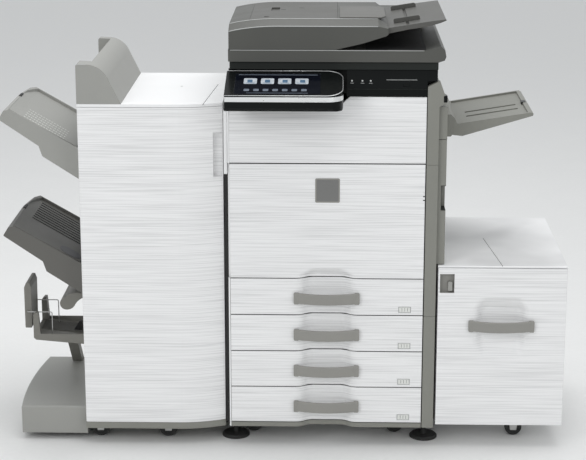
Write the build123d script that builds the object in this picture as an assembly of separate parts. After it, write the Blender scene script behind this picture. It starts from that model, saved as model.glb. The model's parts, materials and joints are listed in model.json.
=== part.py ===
from build123d import *
import os
from math import atan2, cos, degrees, sin, sqrt

# Office copier with a floor-standing finisher, four paper drawers and a side paper cabinet.

os.makedirs("parts", exist_ok=True)

# ---------------------------------------------------------------------------------------------
# Driving dimensions, in millimetres.
# Datum while modelling: X = 0 at the main body's left face, Y = 0 at the drawer fronts, Z = 0 on
# the floor. Every part is moved at the end so that the origin is at the bottom centre of it all.
# ---------------------------------------------------------------------------------------------
SEAM = 2.8                      # shadow gap between neighbouring front panels
SHEET = 3.0                     # frame plate thickness
PIN_FIT = 0.05                  # radial clearance of a hinge pin in its hole

# main body
BODY_DEPTH = 600.0
FRONT_X0 = 5.0                  # left and right edges of the drawer, door and cover fronts
FRONT_X1 = 554.0
FRONT_MID = (FRONT_X0 + FRONT_X1) / 2
COLUMN_X0 = 556.5               # grey column to the right of the fronts
COLUMN_X1 = 589.3
SIDE_X = 613.0                  # outer face of the right-hand side door
RAIL_Z = 57.5                   # underside of the body
DRAWER_Z = 73.5                 # bottom of the lowest drawer front
DRAWER_PITCH = 108.8
DRAWER_COUNT = 4
DOOR_Z0 = DRAWER_Z + DRAWER_COUNT * DRAWER_PITCH
DOOR_Z1 = 841.0
COVER_Z1 = 1031.0               # top of the upper front cover, right of the panel
NOTCH_Z = 990.0                 # top of the upper front cover, below the panel
CREASE_Z = 967.0                # crease where the cover starts to lean back
FRONT_THICK = 24.0
FRAME_Y0 = 30.0                 # front edge of the frame plates
FRAME_Y1 = 586.0
DECK_Z = 1051.0                 # top of the frame's deck plate

# finger scoop that runs down through the drawer fronts
SCOOP_MOUTH = 88.0              # half width at the surface
SCOOP_FLOOR = 38.0              # half width at the bottom
SCOOP_DEPTH = 20.0
SCOOP_TOP = 537.0

# drawer handles
HANDLE_HALF = 92.5
HANDLE_BOW = 24.0
HANDLE_HIGH = 31.0
HANDLE_RISE = 49.3              # handle centre above the drawer front's bottom edge

# console, scanner, lid and document feeder
STRIP_Z = 1034.0
CONSOLE_Z = 1056.0
SCANNER_Z = 1104.0
SCANNER_Y = 25.0
GLASS_Z = 1124.0
LID_Z0 = 1126.5
LID_Z1 = 1159.0
FEEDER_Z0 = 1160.5
FEEDER_TOP = 1241.0
LID_PIVOT = (574.0, 1133.0)     # Y, Z
LID_PIN_R = 4.0
LID_HINGES = (90.0, 490.0)      # X of the two lid hinges
GUIDE_X = 500.0                 # document guides: place along the tray, middle and spacing
GUIDE_MID = 238.0
GUIDE_GAP = 260.0
FEED_COVER = (62.0, 306.0, 64.0, 402.0, 1228.0)   # X0, X1, Y0, Y1 and underside Z

# tilting control panel
PANEL_X1 = 322.0
PANEL_BACK = (25.0, 1100.0)     # Y, Z of the rear edge of the glass
PANEL_FRONT = (-133.0, 1059.0)  # Y, Z of the front edge of the glass
PANEL_PIVOT = (18.0, 1084.0)    # Y, Z
PANEL_PIN_R = 4.0
PANEL_LUGS = (50.0, 160.0, 270.0)
SCREEN_X = (26.0, 260.0)

# finisher, to the left
FIN_X0 = -419.0
FIN_X1 = -14.0
FIN_BEND_X = -136.0             # where the door starts to curve back
FIN_BEND = 31.0
FIN_DEPTH = 511.0
FIN_BASE_Z = 47.5
FIN_DOOR_Z0 = 67.5
FIN_DOOR_Z1 = 999.0
FIN_TOP_Z = 1008.0
FIN_PIVOT = (-411.0, 11.0)      # X, Y of the door hinge
DOOR_PIN_R = 3.0
TRAY_DROP = 342.0               # lower output tray below the upper one
TRAY_Y0 = 80.0
TRAY_Y1 = 470.0

# booklet tray
BOOK_Y0 = 132.0
BOOK_Y1 = 308.0
WIRE_R = 1.5
WIRE_X = -534.0                 # where the wire rises out of the booklet tray
WIRE_Y = (152.0, 272.0)
GATE_PIVOT = (-607.0, 352.0)    # X, Z
FLAP_PIVOT = (-428.0, 410.0)    # X, Z
FLAP_PIN_R = 2.5

# paper cabinet, to the right
LCC_X0 = 595.0
LCC_X1 = 961.0
LCC_Z0 = 68.0
LCC_TOP = 547.0
LCC_DEPTH = 541.0
LCC_MID = 778.0
LCC_HANDLE_Z = 370.0

# front door
DOOR_PIVOT = (11.0, 8.0)        # X, Y
SIDE_PIVOT = (604.0, 562.0)     # X, Y
SIDE_Z0 = 549.0                 # bottom and top of the right-hand side door
SIDE_Z1 = 909.5
SIDE_NOTCH = (94.0, 893.0)      # Y and Z where its top edge steps down under the exit tray

# casters: X, front Y, rear Y and wheel radius of each pair that shares a line
CASTERS = {
    "main_wheels_left": (65.5, 118.0, 500.0, 25.0),
    "main_wheels_right": (481.0, 118.0, 500.0, 25.0),
    "finisher_wheels_left": (-385.0, 70.0, 440.0, 27.0),
    "finisher_wheels_right": (-185.0, 70.0, 440.0, 27.0),
    "cabinet_wheels": (832.0, 104.0, 460.0, 25.0),
}
WHEEL_WIDE = 22.0
WELL_DEEP = 14.0                # depth of the caster wells in the finisher's base
AXLE_R = 4.0
FEET = ((13.0, 82.0), (566.0, 82.0), (13.0, 540.0), (566.0, 540.0))
FOOT_R = 40.5


# ---------------------------------------------------------------------------------------------
# Shape helpers
# ---------------------------------------------------------------------------------------------
def block(x0, x1, y0, y1, z0, z1):
    """A box between two corners."""
    centre = Pos((x0 + x1) / 2, (y0 + y1) / 2, (z0 + z1) / 2)
    return centre * Box(x1 - x0, y1 - y0, z1 - z0)


def outline(points, radius=0.0):
    """A flat face from a closed run of points, its corners rounded when a radius is given."""
    if radius:
        return make_face(FilletPolyline(*points, radius=radius, close=True).edges())
    return make_face(Polyline(*points, close=True).edges())


def along_x(face, x0, x1):
    """Extrude a face drawn in Y and Z."""
    return extrude(Plane.YZ.offset(x0) * face, amount=x1 - x0)


def along_y(face, y0, y1):
    """Extrude a face drawn in X and Z."""
    return extrude(Plane.XZ.offset(-y1) * face, amount=y1 - y0)


def along_z(face, z0, z1):
    """Extrude a face drawn in X and Y."""
    return extrude(Plane.XY.offset(z0) * face, amount=z1 - z0)


def rod_x(x0, x1, y, z, radius):
    return Pos((x0 + x1) / 2, y, z) * Rot(0, 90, 0) * Cylinder(radius, x1 - x0)


def rod_y(x, y0, y1, z, radius):
    return Pos(x, (y0 + y1) / 2, z) * Rot(90, 0, 0) * Cylinder(radius, y1 - y0)


def rod_z(x, y, z0, z1, radius):
    return Pos(x, y, (z0 + z1) / 2) * Cylinder(radius, z1 - z0)


def soften(solid, radius, axis=Axis.Z, keep=None):
    """Round the edges that run along one axis, or those of them that a test keeps."""
    edges = solid.edges().filter_by(axis)
    if keep:
        edges = edges.filter_by(keep)
    return fillet(edges, radius)


def group(*solids):
    """Several separate solids that share one node."""
    return Compound(children=list(solids))


def one(shape):
    """The single solid of a boolean result."""
    return shape.solids().sort_by(SortBy.VOLUME)[-1]


# ---------------------------------------------------------------------------------------------
# Finger scoop and handles
# ---------------------------------------------------------------------------------------------
def scoop_face(x_mid, depth=SCOOP_DEPTH, mouth=SCOOP_MOUTH, floor=SCOOP_FLOOR):
    """Plan of the scoop: two tangent arcs on each side of a flat floor."""
    run = mouth - floor
    radius = (run**2 + depth**2) / (4 * depth)
    turn = degrees(atan2(run / 2, radius - depth / 2))
    enter = JernArc((x_mid - mouth, 0), (1, 0), radius, turn)
    settle = JernArc(enter @ 1, enter % 1, radius, -turn)
    base = Line(settle @ 1, (x_mid + floor, depth))
    leave = JernArc(base @ 1, (1, 0), radius, -turn)
    rise = JernArc(leave @ 1, leave % 1, radius, turn)
    close = Polyline(rise @ 1, (x_mid + mouth, -1), (x_mid - mouth, -1), (x_mid - mouth, 0))
    return make_face([*enter.edges(), *settle.edges(), *base.edges(), *leave.edges(),
                      *rise.edges(), *close.edges()])


def bow_handle(x_mid, z_mid):
    """A bowed bar that stands on two feet at Y = 0."""
    foot = 12.5
    thick = 6.0
    inner = HANDLE_HALF - foot
    curve = [
        ThreePointArc((-HANDLE_HALF, -6), (0, -HANDLE_BOW), (HANDLE_HALF, -6)),
        Polyline((HANDLE_HALF, -6), (HANDLE_HALF, 0), (inner, 0), (inner, -4)),
        ThreePointArc((inner, -4), (0, -HANDLE_BOW + thick), (-inner, -4)),
        Polyline((-inner, -4), (-inner, 0), (-HANDLE_HALF, 0), (-HANDLE_HALF, -6)),
    ]
    face = make_face([edge for part in curve for edge in part.edges()])
    bar = along_z(face, z_mid - HANDLE_HIGH / 2, z_mid + HANDLE_HIGH / 2)
    front = bar.edges().filter_by(GeomType.CIRCLE).sort_by(Axis.Y)[:2]
    return Pos(x_mid, 0, 0) * fillet(front, 3.0)


# ---------------------------------------------------------------------------------------------
# Main body
# ---------------------------------------------------------------------------------------------
def main_frame():
    """Base, side, back, shelf and deck plates of the frame."""
    left, right = 6.0, 563.0
    top = STRIP_Z
    return group(
        block(left, 584, FRAME_Y0, FRAME_Y1, RAIL_Z + 1, RAIL_Z + 9),
        block(left, left + SHEET, FRAME_Y0, FRAME_Y1, RAIL_Z + 9, top),
        block(right - SHEET, right, FRAME_Y0, FRAME_Y1, RAIL_Z + 9, top),
        block(left + SHEET, right - SHEET, FRAME_Y1 - SHEET, FRAME_Y1, RAIL_Z + 9, top),
        block(left + SHEET, right - SHEET, FRAME_Y0, FRAME_Y1 - SHEET, DOOR_Z0 + 1, DOOR_Z0 + 4),
        block(left, 584, FRAME_Y0 + 22, FRAME_Y1, top, DECK_Z),
    )


def side_covers():
    """White left cover and the grey cover behind the column on the right."""
    left = block(0, FRONT_X0 - 0.5, 2, 587, RAIL_Z, NOTCH_Z)
    left = fillet(left.edges().filter_by(Axis.Z).sort_by(Axis.X)[:2], 3)
    left -= block(-1, FRONT_X0, 1, 20, DOOR_Z0 - 1.5, DOOR_Z1 + 1)
    right = block(584.5, COLUMN_X1, FRAME_Y0 + 1, 587, RAIL_Z, CONSOLE_Z - 6)
    return group(left, right)


def rear_cover():
    """Plain rear cover with cooling slots, a rating-plate recess and the mains inlet."""
    cover = block(0, COLUMN_X1, FRAME_Y1 + 2, BODY_DEPTH, RAIL_Z, DECK_Z - 1)
    cover = fillet(cover.edges().filter_by(Axis.Z).sort_by(Axis.Y)[-2:], 6)
    for row in range(12):
        for x in (120.0, 380.0):
            slot = Pos(x + 45, BODY_DEPTH, 760 + 14 * row) * Box(90, 8, 5)
            cover -= slot
    for x in (60.0, 300.0):
        cover -= Pos(x + 60, BODY_DEPTH, 420) * Box(100, 6, 3)
    inlet_x, inlet_z = 500.0, 110.0
    cover -= Pos(inlet_x, BODY_DEPTH, inlet_z) * Box(30, 20, 22)
    for offset in (-8.0, 0.0, 8.0):
        height = inlet_z + (4.0 if offset == 0 else -2.0)
        cover += Pos(inlet_x + offset, BODY_DEPTH - 9, height) * Box(2, 4, 5)
    return cover


def right_column():
    """Grey column beside the fronts, in one piece with the upper side unit and its exit slot."""
    face = outline([(COLUMN_X0, RAIL_Z), (COLUMN_X1, RAIL_Z), (COLUMN_X1, 1004), (608, 1016),
                    (607, 1030), (591, 1074), (584, 1074), (COLUMN_X0, 1060)])
    column = along_y(face, 0.5, FRAME_Y0)
    notch_y, notch_z = SIDE_NOTCH
    unit = block(COLUMN_X1, SIDE_X, 12, 572, SIDE_Z1 + 1.5, 1003)
    step = block(COLUMN_X1, SIDE_X, notch_y + 2, 484, notch_z + 1.5, SIDE_Z1 + 1.5)
    column = column.fuse(unit).fuse(step).clean()
    column -= block(COLUMN_X0 - 1, FRONT_X1 + 60, 0, 1.6, 838.5, 840)
    column -= block(COLUMN_X0 - 1, COLUMN_X1 + 1, 0, 1.6, 396, 397.5)
    column -= block(COLUMN_X1 + 8, SIDE_X + 1, 150, 450, 944, 956)
    return one(column)


def base_rail():
    """Grey rail under the lowest drawer, with the end of the finger scoop."""
    rail = block(FRONT_X0, FRONT_X1, 1, 26, RAIL_Z, DRAWER_Z - SEAM)
    rail -= along_z(Pos(0, 1) * scoop_face(FRONT_MID), RAIL_Z - 1, DRAWER_Z + 1)
    return rail


def grey_trim():
    """The grey column and the grey rail under the drawers."""
    return group(right_column(), base_rail())


def upper_front_cover():
    """White cover under the console, cut back below the tilting panel."""
    cover = block(FRONT_X0, FRONT_X1, 0, FRONT_THICK, DOOR_Z1 + SEAM, COVER_Z1)
    rise = [
        Polyline((-1, NOTCH_Z), (300, NOTCH_Z)),
        ThreePointArc((300, NOTCH_Z), (322, 1012), (342, COVER_Z1)),
        Polyline((342, COVER_Z1), (342, COVER_Z1 + 5), (-1, COVER_Z1 + 5), (-1, NOTCH_Z)),
    ]
    notch = make_face([edge for part in rise for edge in part.edges()])
    cover -= along_y(notch, -1, FRONT_THICK + 1)
    left, middle = lean_section(-1, CREASE_Z, 14), lean_section(PANEL_X1, CREASE_Z, 14)
    cover -= loft([left, middle])
    cover -= loft([middle, lean_section(PANEL_X1 + 150, COVER_Z1 - 10, 1)])
    return cover


def lean_section(x, low, depth):
    """Wedge that leans the cover's face back above low; depth is how far back it is at the top."""
    top = COVER_Z1 + 5
    wedge = Polyline((-1, low), (-1, top), (depth, top), (0, low), close=True)
    return Plane.YZ.offset(x) * make_face(wedge)


def console_front():
    """Gloss-black console band and the dark strip under it, set back behind the panel."""
    face = outline([(4, STRIP_Z), (4, CONSOLE_Z - 1), (0, CONSOLE_Z - 1), (0, CONSOLE_Z + 1),
                    (SCANNER_Y, SCANNER_Z - 1), (49, SCANNER_Z - 1), (49, STRIP_Z)])
    band = along_x(face, 3, COLUMN_X0 - 1)
    tip = outline([(4, 1062), (SCANNER_Y, SCANNER_Z - 1), (49, SCANNER_Z - 1), (49, 1062)])
    band = band.fuse(along_x(tip, COLUMN_X0 - 1, 583.5)).clean()
    band -= block(COLUMN_X0 - 1.2, 590, -1, FRAME_Y0 + 1, STRIP_Z - 1, 1075)
    band -= block(2, PANEL_X1 + 10, -1, 44, STRIP_Z - 1, SCANNER_Z + 1)
    band -= power_pocket()
    return one(band)


def on_console(x, up):
    """A frame on the console's sloping face: X across, Y up the slope, Z outwards."""
    slope = atan2(SCANNER_Z - 1 - CONSOLE_Z - 1, SCANNER_Y)
    y = up * cos(slope)
    z = CONSOLE_Z + 1 + up * sin(slope)
    return Plane(origin=(x, y, z), x_dir=(1, 0, 0), z_dir=(0, -sin(slope), cos(slope)))


def power_pocket():
    return on_console(497, 8).location * Box(17, 7.4, 8)


def power_key():
    """Small key in the console, free to travel inwards."""
    key = Pos(0, 0, -0.9) * Box(16.2, 6.6, 3.4)
    key = fillet(key.edges().filter_by(Axis.Z), 2.5)
    return on_console(497, 8).location * key


def scanner_housing():
    """Open-topped scanner tub with a window for the glass."""
    tub = block(6.5, 586, SCANNER_Y, 588, SCANNER_Z, GLASS_Z)
    tub = soften(tub, 6)
    tub = tub.fuse(block(6.5, 586, 50, 588, DECK_Z + 0.5, SCANNER_Z)).clean()
    tub -= block(12, 580, 56, 582, DECK_Z + 5, GLASS_Z - 6)
    tub -= block(60, 540, 90, 510, GLASS_Z - 10, GLASS_Z + 1)
    ledges = [block(12, 580, y, y + 18, 1072, 1081.6) for y in (62, 558)]
    return group(tub, *ledges)


def platen_glass():
    return block(60, 540, 90, 510, GLASS_Z - 4.5, GLASS_Z - 0.5)


def scan_carriage():
    """Lamp and mirror carriage that travels under the glass."""
    bar = block(66, 120, 62, 576, 1082, 1104)
    bar -= block(80, 106, 90, 550, 1096, 1106)
    lamps = block(82, 88, 92, 548, 1096.2, 1100)
    return group(bar, lamps)


def toner_cartridges():
    """Row of four toner bottles behind the front door."""
    bottles = []
    for index in range(4):
        x = 80 + 108 * index
        bottle = rod_y(x, 60, 520, 930, 42)
        bottle = bottle.fuse(rod_y(x, 44, 60, 930, 30)).clean()
        bottle -= Pos(x, 46, 930) * Box(44, 12, 9)
        bottles.append(bottle)
    return group(*bottles)


def image_unit():
    """Drums over a transfer belt, and the fuser beside them."""
    pieces = []
    for index in range(4):
        x = 80 + 108 * index
        pieces.append(rod_y(x, 70, 500, 820, 22))
    belt = outline([(50, 760), (430, 760), (430, 797), (50, 797)], 18)
    core = outline([(56, 766), (424, 766), (424, 791), (56, 791)], 12)
    pieces.append(along_y(belt, 70, 500) - along_y(core, 69, 501))
    fuser = block(462, 545, 60, 500, 740, 880)
    pieces.append(soften(fuser, 8, Axis.Y))
    pieces.append(block(20, 550, 40, 560, DOOR_Z0 + 4.5, DOOR_Z0 + 60))
    return group(*pieces)


def levelling_feet():
    """Adjustable feet: a disc, a stem and a lock nut at each corner."""
    feet = []
    for x, y in FEET:
        disc = rod_z(x, y, 0, 9, FOOT_R)
        disc = chamfer(disc.edges().sort_by(Axis.Z)[-1], 5)
        stem = rod_z(x, y, 8, RAIL_Z + 1, 7)
        nut = Pos(x, y, 42) * extrude(RegularPolygon(13, 6), 10)
        feet.append(disc.fuse(stem).fuse(nut).clean())
    return group(*feet)


def caster_forks():
    """Fixed forks with their axles; the wheels turn on them."""
    forks = []
    under = {"main": RAIL_Z + 1, "finisher": FIN_BASE_Z + WELL_DEEP, "cabinet": LCC_Z0}
    for name, (x, y_front, y_rear, radius) in CASTERS.items():
        top = under[name.split("_")[0]]
        half = WHEEL_WIDE / 2 + 1
        for y in (y_front, y_rear):
            fork = block(x - 22, x + 22, y - half - 4, y + half + 4, top - 3, top)
            for side in (-1, 1):
                y_in = y + side * half
                y_out = y + side * (half + 3)
                cheek = outline([(x - 9, radius - 8), (x + 9, radius - 8), (x + 16, top - 1),
                                 (x - 16, top - 1)])
                fork = fork.fuse(along_y(cheek, min(y_in, y_out), max(y_in, y_out)))
            forks.append(fork.fuse(rod_y(x, y - half - 3, y + half + 3, radius, AXLE_R)).clean())
    return group(*forks)


def wheel_pair(x, y_front, y_rear, radius):
    """Two caster wheels that share one line."""
    wheels = []
    for y in (y_front, y_rear):
        wheel = rod_y(x, y - WHEEL_WIDE / 2, y + WHEEL_WIDE / 2, radius, radius)
        wheel = fillet(wheel.edges(), 3)
        wheel -= rod_y(x, y - WHEEL_WIDE, y + WHEEL_WIDE, radius, AXLE_R + PIN_FIT)
        for side in (-1, 1):
            ring = rod_y(x, y - 2, y + 2, radius, radius - 8)
            ring -= rod_y(x, y - 3, y + 3, radius, AXLE_R + 5)
            wheel -= Pos(0, side * WHEEL_WIDE / 2, 0) * ring
        wheels.append(wheel)
    return group(*wheels)


# ---------------------------------------------------------------------------------------------
# Doors
# ---------------------------------------------------------------------------------------------
def front_door():
    """Large front door, hinged on the left, with the top of the scoop along its lower edge."""
    door = block(FRONT_X0 + 0.5, FRONT_X1 - 0.5, 0, FRONT_THICK, DOOR_Z0, DOOR_Z1 - 0.5)
    flat = along_z(scoop_face(FRONT_MID), DOOR_Z0 - 1, DOOR_Z0 + 6)
    fade = loft([Plane.XY.offset(DOOR_Z0 + 6) * scoop_face(FRONT_MID),
                 Plane.XY.offset(SCOOP_TOP) * scoop_face(FRONT_MID, 1.0, 55, 20)])
    door -= flat
    door -= fade
    x, y = DOOR_PIVOT
    for z0, z1 in ((DOOR_Z0 - 1, DOOR_Z0 + 5.5), (DOOR_Z1 - 6, DOOR_Z1 + 1)):
        door -= block(FRONT_X0, x + 10, y - 4.6, FRONT_THICK + 1, z0, z1)
    door -= rod_z(x, y, DOOR_Z0, DOOR_Z0 + 16, DOOR_PIN_R + PIN_FIT)
    door -= rod_z(x, y, DOOR_Z1 - 16, DOOR_Z1, DOOR_PIN_R + PIN_FIT)
    for z in (760.0, 738.0):
        door -= Pos(FRONT_X1, 0, z) * Box(10, 3, 3)
    return door


def hinge_brackets():
    """Steel pieces that carry what turns: door pins, lid hinges, panel pivot bar and flap pin."""
    x, y = DOOR_PIVOT
    pieces = []
    for z0, z1, pin0, pin1 in ((DOOR_Z0 + 1.2, DOOR_Z0 + 4, DOOR_Z0 + 2, DOOR_Z0 + 14),
                               (DOOR_Z1 - 4, DOOR_Z1 - 1.2, DOOR_Z1 - 14, DOOR_Z1 - 2)):
        leaf = block(x - 4, x + 4, y, FRAME_Y0, z0, z1).fuse(rod_z(x, y, z0, z1, 4))
        leaf = leaf.fuse(rod_z(x, y, pin0, pin1, DOOR_PIN_R)).clean()
        pieces.append(leaf)
    y, z = LID_PIVOT
    for x in LID_HINGES:
        cheeks = block(x - 12, x - 6, y - 8, y + 8, GLASS_Z, z + 8)
        cheeks = cheeks.fuse(block(x + 6, x + 12, y - 8, y + 8, GLASS_Z, z + 8))
        pieces.append(cheeks.fuse(rod_x(x - 12, x + 12, y, z, LID_PIN_R)).clean())
    y, z = PANEL_PIVOT
    bar = rod_x(PANEL_LUGS[0] - 20, PANEL_LUGS[-1] + 20, y, z, PANEL_PIN_R)
    for x in PANEL_LUGS:
        bar = bar.fuse(block(x - 3, x + 3, y - 4, 44, z - 4, z + 4))
    pieces.append(bar.clean())
    x, y = FIN_PIVOT
    pieces.append(rod_z(x, y, FIN_DOOR_Z0 - 0.7, FIN_DOOR_Z0 + 11, DOOR_PIN_R))
    pieces.append(rod_z(x, y, FIN_DOOR_Z1 - 11, FIN_DOOR_Z1 + 1, DOOR_PIN_R))
    x, y = SIDE_PIVOT
    leaf = block(COLUMN_X1 + 0.3, x + 5, y - 8, y + 8, SIDE_Z0 - 4.5, SIDE_Z0 - 1)
    pieces.append(leaf.fuse(rod_z(x, y, SIDE_Z0 - 1, SIDE_Z0 + 12, DOOR_PIN_R)).clean())
    pieces.append(rod_z(x, y, SIDE_Z1 - 12, SIDE_Z1 + 1, DOOR_PIN_R))
    x, z = FLAP_PIVOT
    pin = rod_y(x, BOOK_Y0, BOOK_Y1, z, FLAP_PIN_R)
    for y in (BOOK_Y0, BOOK_Y1 - 4):
        pin = pin.fuse(block(x - 6, FIN_X0 - 0.2, y, y + 4, z - 6, z + 6))
    pieces.append(pin.clean())
    return group(*pieces)


def side_door():
    """Right-hand side door over the paper path, with its recessed handle."""
    door = block(COLUMN_X1 + 0.7, SIDE_X, 12, 572, SIDE_Z0, SIDE_Z1)
    door = soften(door, 4, Axis.Z, lambda edge: edge.center().X > SIDE_X - 1)
    door -= block(SIDE_X - 14, SIDE_X + 1, 11, 60, 706, 778)
    door -= block(COLUMN_X1, SIDE_X - 4, 40, 540, 560, 700)
    notch_y, notch_z = SIDE_NOTCH
    door -= block(COLUMN_X1, SIDE_X + 1, notch_y, 486, notch_z, SIDE_Z1 + 1)
    x, y = SIDE_PIVOT
    door -= block(COLUMN_X1, x - 8, y - 6, 573, SIDE_Z0 - 1, SIDE_Z1 + 1)
    door -= rod_z(x, y, SIDE_Z0 - 1, SIDE_Z0 + 13, DOOR_PIN_R + PIN_FIT)
    door -= rod_z(x, y, SIDE_Z1 - 13, SIDE_Z1 + 1, DOOR_PIN_R + PIN_FIT)
    return one(door)


def exit_tray():
    """Sloping tray on the right, with raised edges and two long grooves."""
    mount = block(SIDE_X, 632, 100, 480, 900, 964)
    mount = soften(mount, 5, Axis.Y, lambda edge: edge.center().X > 630)
    face = outline([(620, 900), (664, 895.5), (863, 955), (865, 961), (858, 965), (649, 931), (640, 950),
                    (632, 956), (620, 956)])
    tray = along_y(face, 130, 475)
    floor = outline([(652, 926), (850, 958), (850, 980), (652, 980)])
    tray -= along_y(floor, 138, 467)
    slope = atan2(958 - 926, 850 - 652)
    for y in (240.0, 300.0):
        groove = Pos(757, y, 941) * Rot(0, -degrees(slope), 0) * Box(150, 16, 12)
        tray -= groove
    return tray.fuse(mount).clean()


# ---------------------------------------------------------------------------------------------
# Drawers
# ---------------------------------------------------------------------------------------------
def drawer_front(z0):
    """Drawer front with the finger scoop and a small paper-size window."""
    front = block(FRONT_X0 + 0.5, FRONT_X1 - 0.5, 0, 26, z0, z0 + DRAWER_PITCH - SEAM)
    front -= along_z(scoop_face(FRONT_MID), z0 - 1, z0 + DRAWER_PITCH)
    front -= block(484, 520, -1, 1.2, z0 + 7, z0 + 25)
    return one(front)


def paper_tray(z0):
    """Open-topped sheet-metal tray with a stiffening flange along each side."""
    tray = block(16, 548, 26.5, 560, z0 + 6, z0 + 92)
    tray -= block(19, 545, 30, 557, z0 + 9, z0 + 93)
    for x0, x1 in ((10, 17), (547, 554)):
        tray = tray.fuse(block(x0, x1, 60, 540, z0 + 50, z0 + 58))
    return tray.clean()


# ---------------------------------------------------------------------------------------------
# Lid and document feeder
# ---------------------------------------------------------------------------------------------
def platen_lid():
    """Lid over the glass, with a raised stop at its right end and two hinge lugs."""
    face = outline([(3, LID_Z0), (586, LID_Z0), (602, 1132), (606, 1142), (603, 1160), (592, 1170),
                    (548, LID_Z1), (3, LID_Z1)])
    lid = along_y(face, 15, 558)
    corners = lid.edges().filter_by(Axis.Z).sort_by(Axis.X)[:2]
    lid = fillet(corners, 8)
    lid -= block(12, 575, 30, 545, LID_Z0 - 1, LID_Z0 + 12)
    lid = lid.fuse(block(20, 560, 60, 530, LID_Z0 + 1, LID_Z0 + 12))
    y, z = LID_PIVOT
    for x in LID_HINGES:
        lug = block(x - 5.5, x + 5.5, 555, y + 6, z - 6, z + 6)
        lug = fillet(lug.edges().filter_by(Axis.X).sort_by(Axis.Y)[-2:], 5)
        lid = lid.fuse(lug)
        lid -= rod_x(x - 7, x + 7, y, z, LID_PIN_R + PIN_FIT)
    return lid.clean()


def feeder_section(y, top, shoulder):
    """Cross-section of the feeder at one depth: rounded on the left, chamfered on the right."""
    low = top - shoulder
    edges = [
        Polyline((5, low), (5, FEEDER_Z0), (300, FEEDER_Z0), (376, 1178.5), (441, 1199),
                 (446, 1204), (446, min(1221, top - 6)), (418, top), (134, top)),
        ThreePointArc((134, top), (62, top - shoulder * 0.30), (5, low)),
    ]
    face = make_face([edge for part in edges for edge in part.edges()])
    return Plane.XZ.offset(-y) * face


def feeder_solid():
    """Full outer form of the feeder, before the feed cover is parted from it."""
    sections = [feeder_section(15, 1225.5, 15), feeder_section(55, FEEDER_TOP, 15),
                feeder_section(408, FEEDER_TOP, 15), feeder_section(558, 1214, 12)]
    form = loft(sections[:2], ruled=True)
    for front, back in zip(sections[1:], sections[2:]):
        form = form.fuse(loft([front, back], ruled=True))
    rear = block(380, 552, 440, 558, FEEDER_Z0, 1212)
    return form.fuse(rear).clean()


def feeder_body():
    """Feeder casing, open underneath and with a pocket for the feed cover."""
    x0, x1, y0, y1, z0 = FEED_COVER
    gap = 0.5
    body = feeder_solid()
    body -= block(x0 - gap, x1 + gap, y0 - gap, y1 + gap, z0 - gap, FEEDER_TOP + 20)
    body -= block(11, 290, 24, 548, FEEDER_Z0 - 1, 1204)
    body -= Pos(270, 410, 1241) * Box(26, 5, 3)
    return one(body)


def feeder_cover():
    """Feed cover: the parted piece of the feeder's top."""
    x0, x1, y0, y1, z0 = FEED_COVER
    cover = feeder_solid() & block(x0, x1, y0, y1, z0, FEEDER_TOP + 20)
    cover -= Pos(128, 250, 1240) * Box(24, 70, 8)
    return one(cover)


def document_tray():
    """Document tray that rises to the right above the eject gap."""
    face = outline([(446.3, 1203), (503, 1215), (552, 1222), (590, 1233), (606, 1240), (604, 1243),
                    (552, 1236), (446.3, 1219)])
    tray = along_y(face, 36, 439.5)
    tray -= guide_frame(GUIDE_MID) * Box(8, GUIDE_GAP + 130, 10)
    return tray


def guide_frame(y):
    """A frame on the document tray's surface: X up the slope, Z outwards."""
    slope = atan2(1236 - 1219, 552 - 446.3)
    return Pos(GUIDE_X, y, 1219 + (GUIDE_X - 446.3) * 17 / 105.7) * Rot(0, -degrees(slope), 0)


def document_guide(side):
    """Side guide that slides on the document tray; the two move together."""
    fence = Pos(0, 0, 6.5) * Box(74, 5, 12)
    fence = fillet(fence.edges().filter_by(Axis.Y).sort_by(Axis.Z)[-2:], 6)
    foot = Pos(0, 0, -1) * Box(7, 5, 6)
    return guide_frame(GUIDE_MID + side * GUIDE_GAP / 2) * fence.fuse(foot).clean()


# ---------------------------------------------------------------------------------------------
# Tilting control panel
# ---------------------------------------------------------------------------------------------
def panel_slope():
    return atan2(PANEL_BACK[1] - PANEL_FRONT[1], PANEL_BACK[0] - PANEL_FRONT[0])


def on_panel(x, back):
    """A frame on the panel's face: X across, Y up the slope, Z outwards, back from the front edge."""
    slope = panel_slope()
    y = PANEL_FRONT[0] + back * cos(slope)
    z = PANEL_FRONT[1] + back * sin(slope)
    return Plane(origin=(x, y, z), x_dir=(1, 0, 0), z_dir=(0, -sin(slope), cos(slope)))


def panel_plan(grow=0.0):
    """Plan of the panel, its right-hand corners well rounded."""
    x0, x1 = 0.0 - grow, PANEL_X1 + grow
    y0, y1 = PANEL_FRONT[0] - grow, PANEL_BACK[0] + grow
    points = [(x0, y0), (x1, y0), (x1, y1), (x0, y1)]
    return make_face(FilletPolyline(*points, radius=[6, 46, 46, 6], close=True).edges())


def panel_housing():
    """Wedge-shaped housing, with pockets for the screen, the key and the pivot bar."""
    face = outline([PANEL_FRONT, (-131, 1024), (-124, 1015), (-104, 1014), (-6, 1052), (20, 1062),
                    PANEL_BACK])
    housing = along_x(face, 0, PANEL_X1) & along_z(panel_plan(), 950, 1150)
    length = sqrt((PANEL_BACK[0] - PANEL_FRONT[0])**2 + (PANEL_BACK[1] - PANEL_FRONT[1])**2)
    mid = (SCREEN_X[0] + SCREEN_X[1]) / 2
    wide = SCREEN_X[1] - SCREEN_X[0]
    housing -= on_panel(mid, length / 2 - 4).location * Box(wide, 134, 5)
    housing -= home_pocket()
    y, z = PANEL_PIVOT
    housing -= rod_x(PANEL_LUGS[0] - 22, PANEL_LUGS[-1] + 22, y, z, PANEL_PIN_R + PIN_FIT)
    for x in PANEL_LUGS:
        housing -= block(x - 5, x + 5, y - 8, y + 20, z - 30, z + 8)
    return one(housing)


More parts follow.
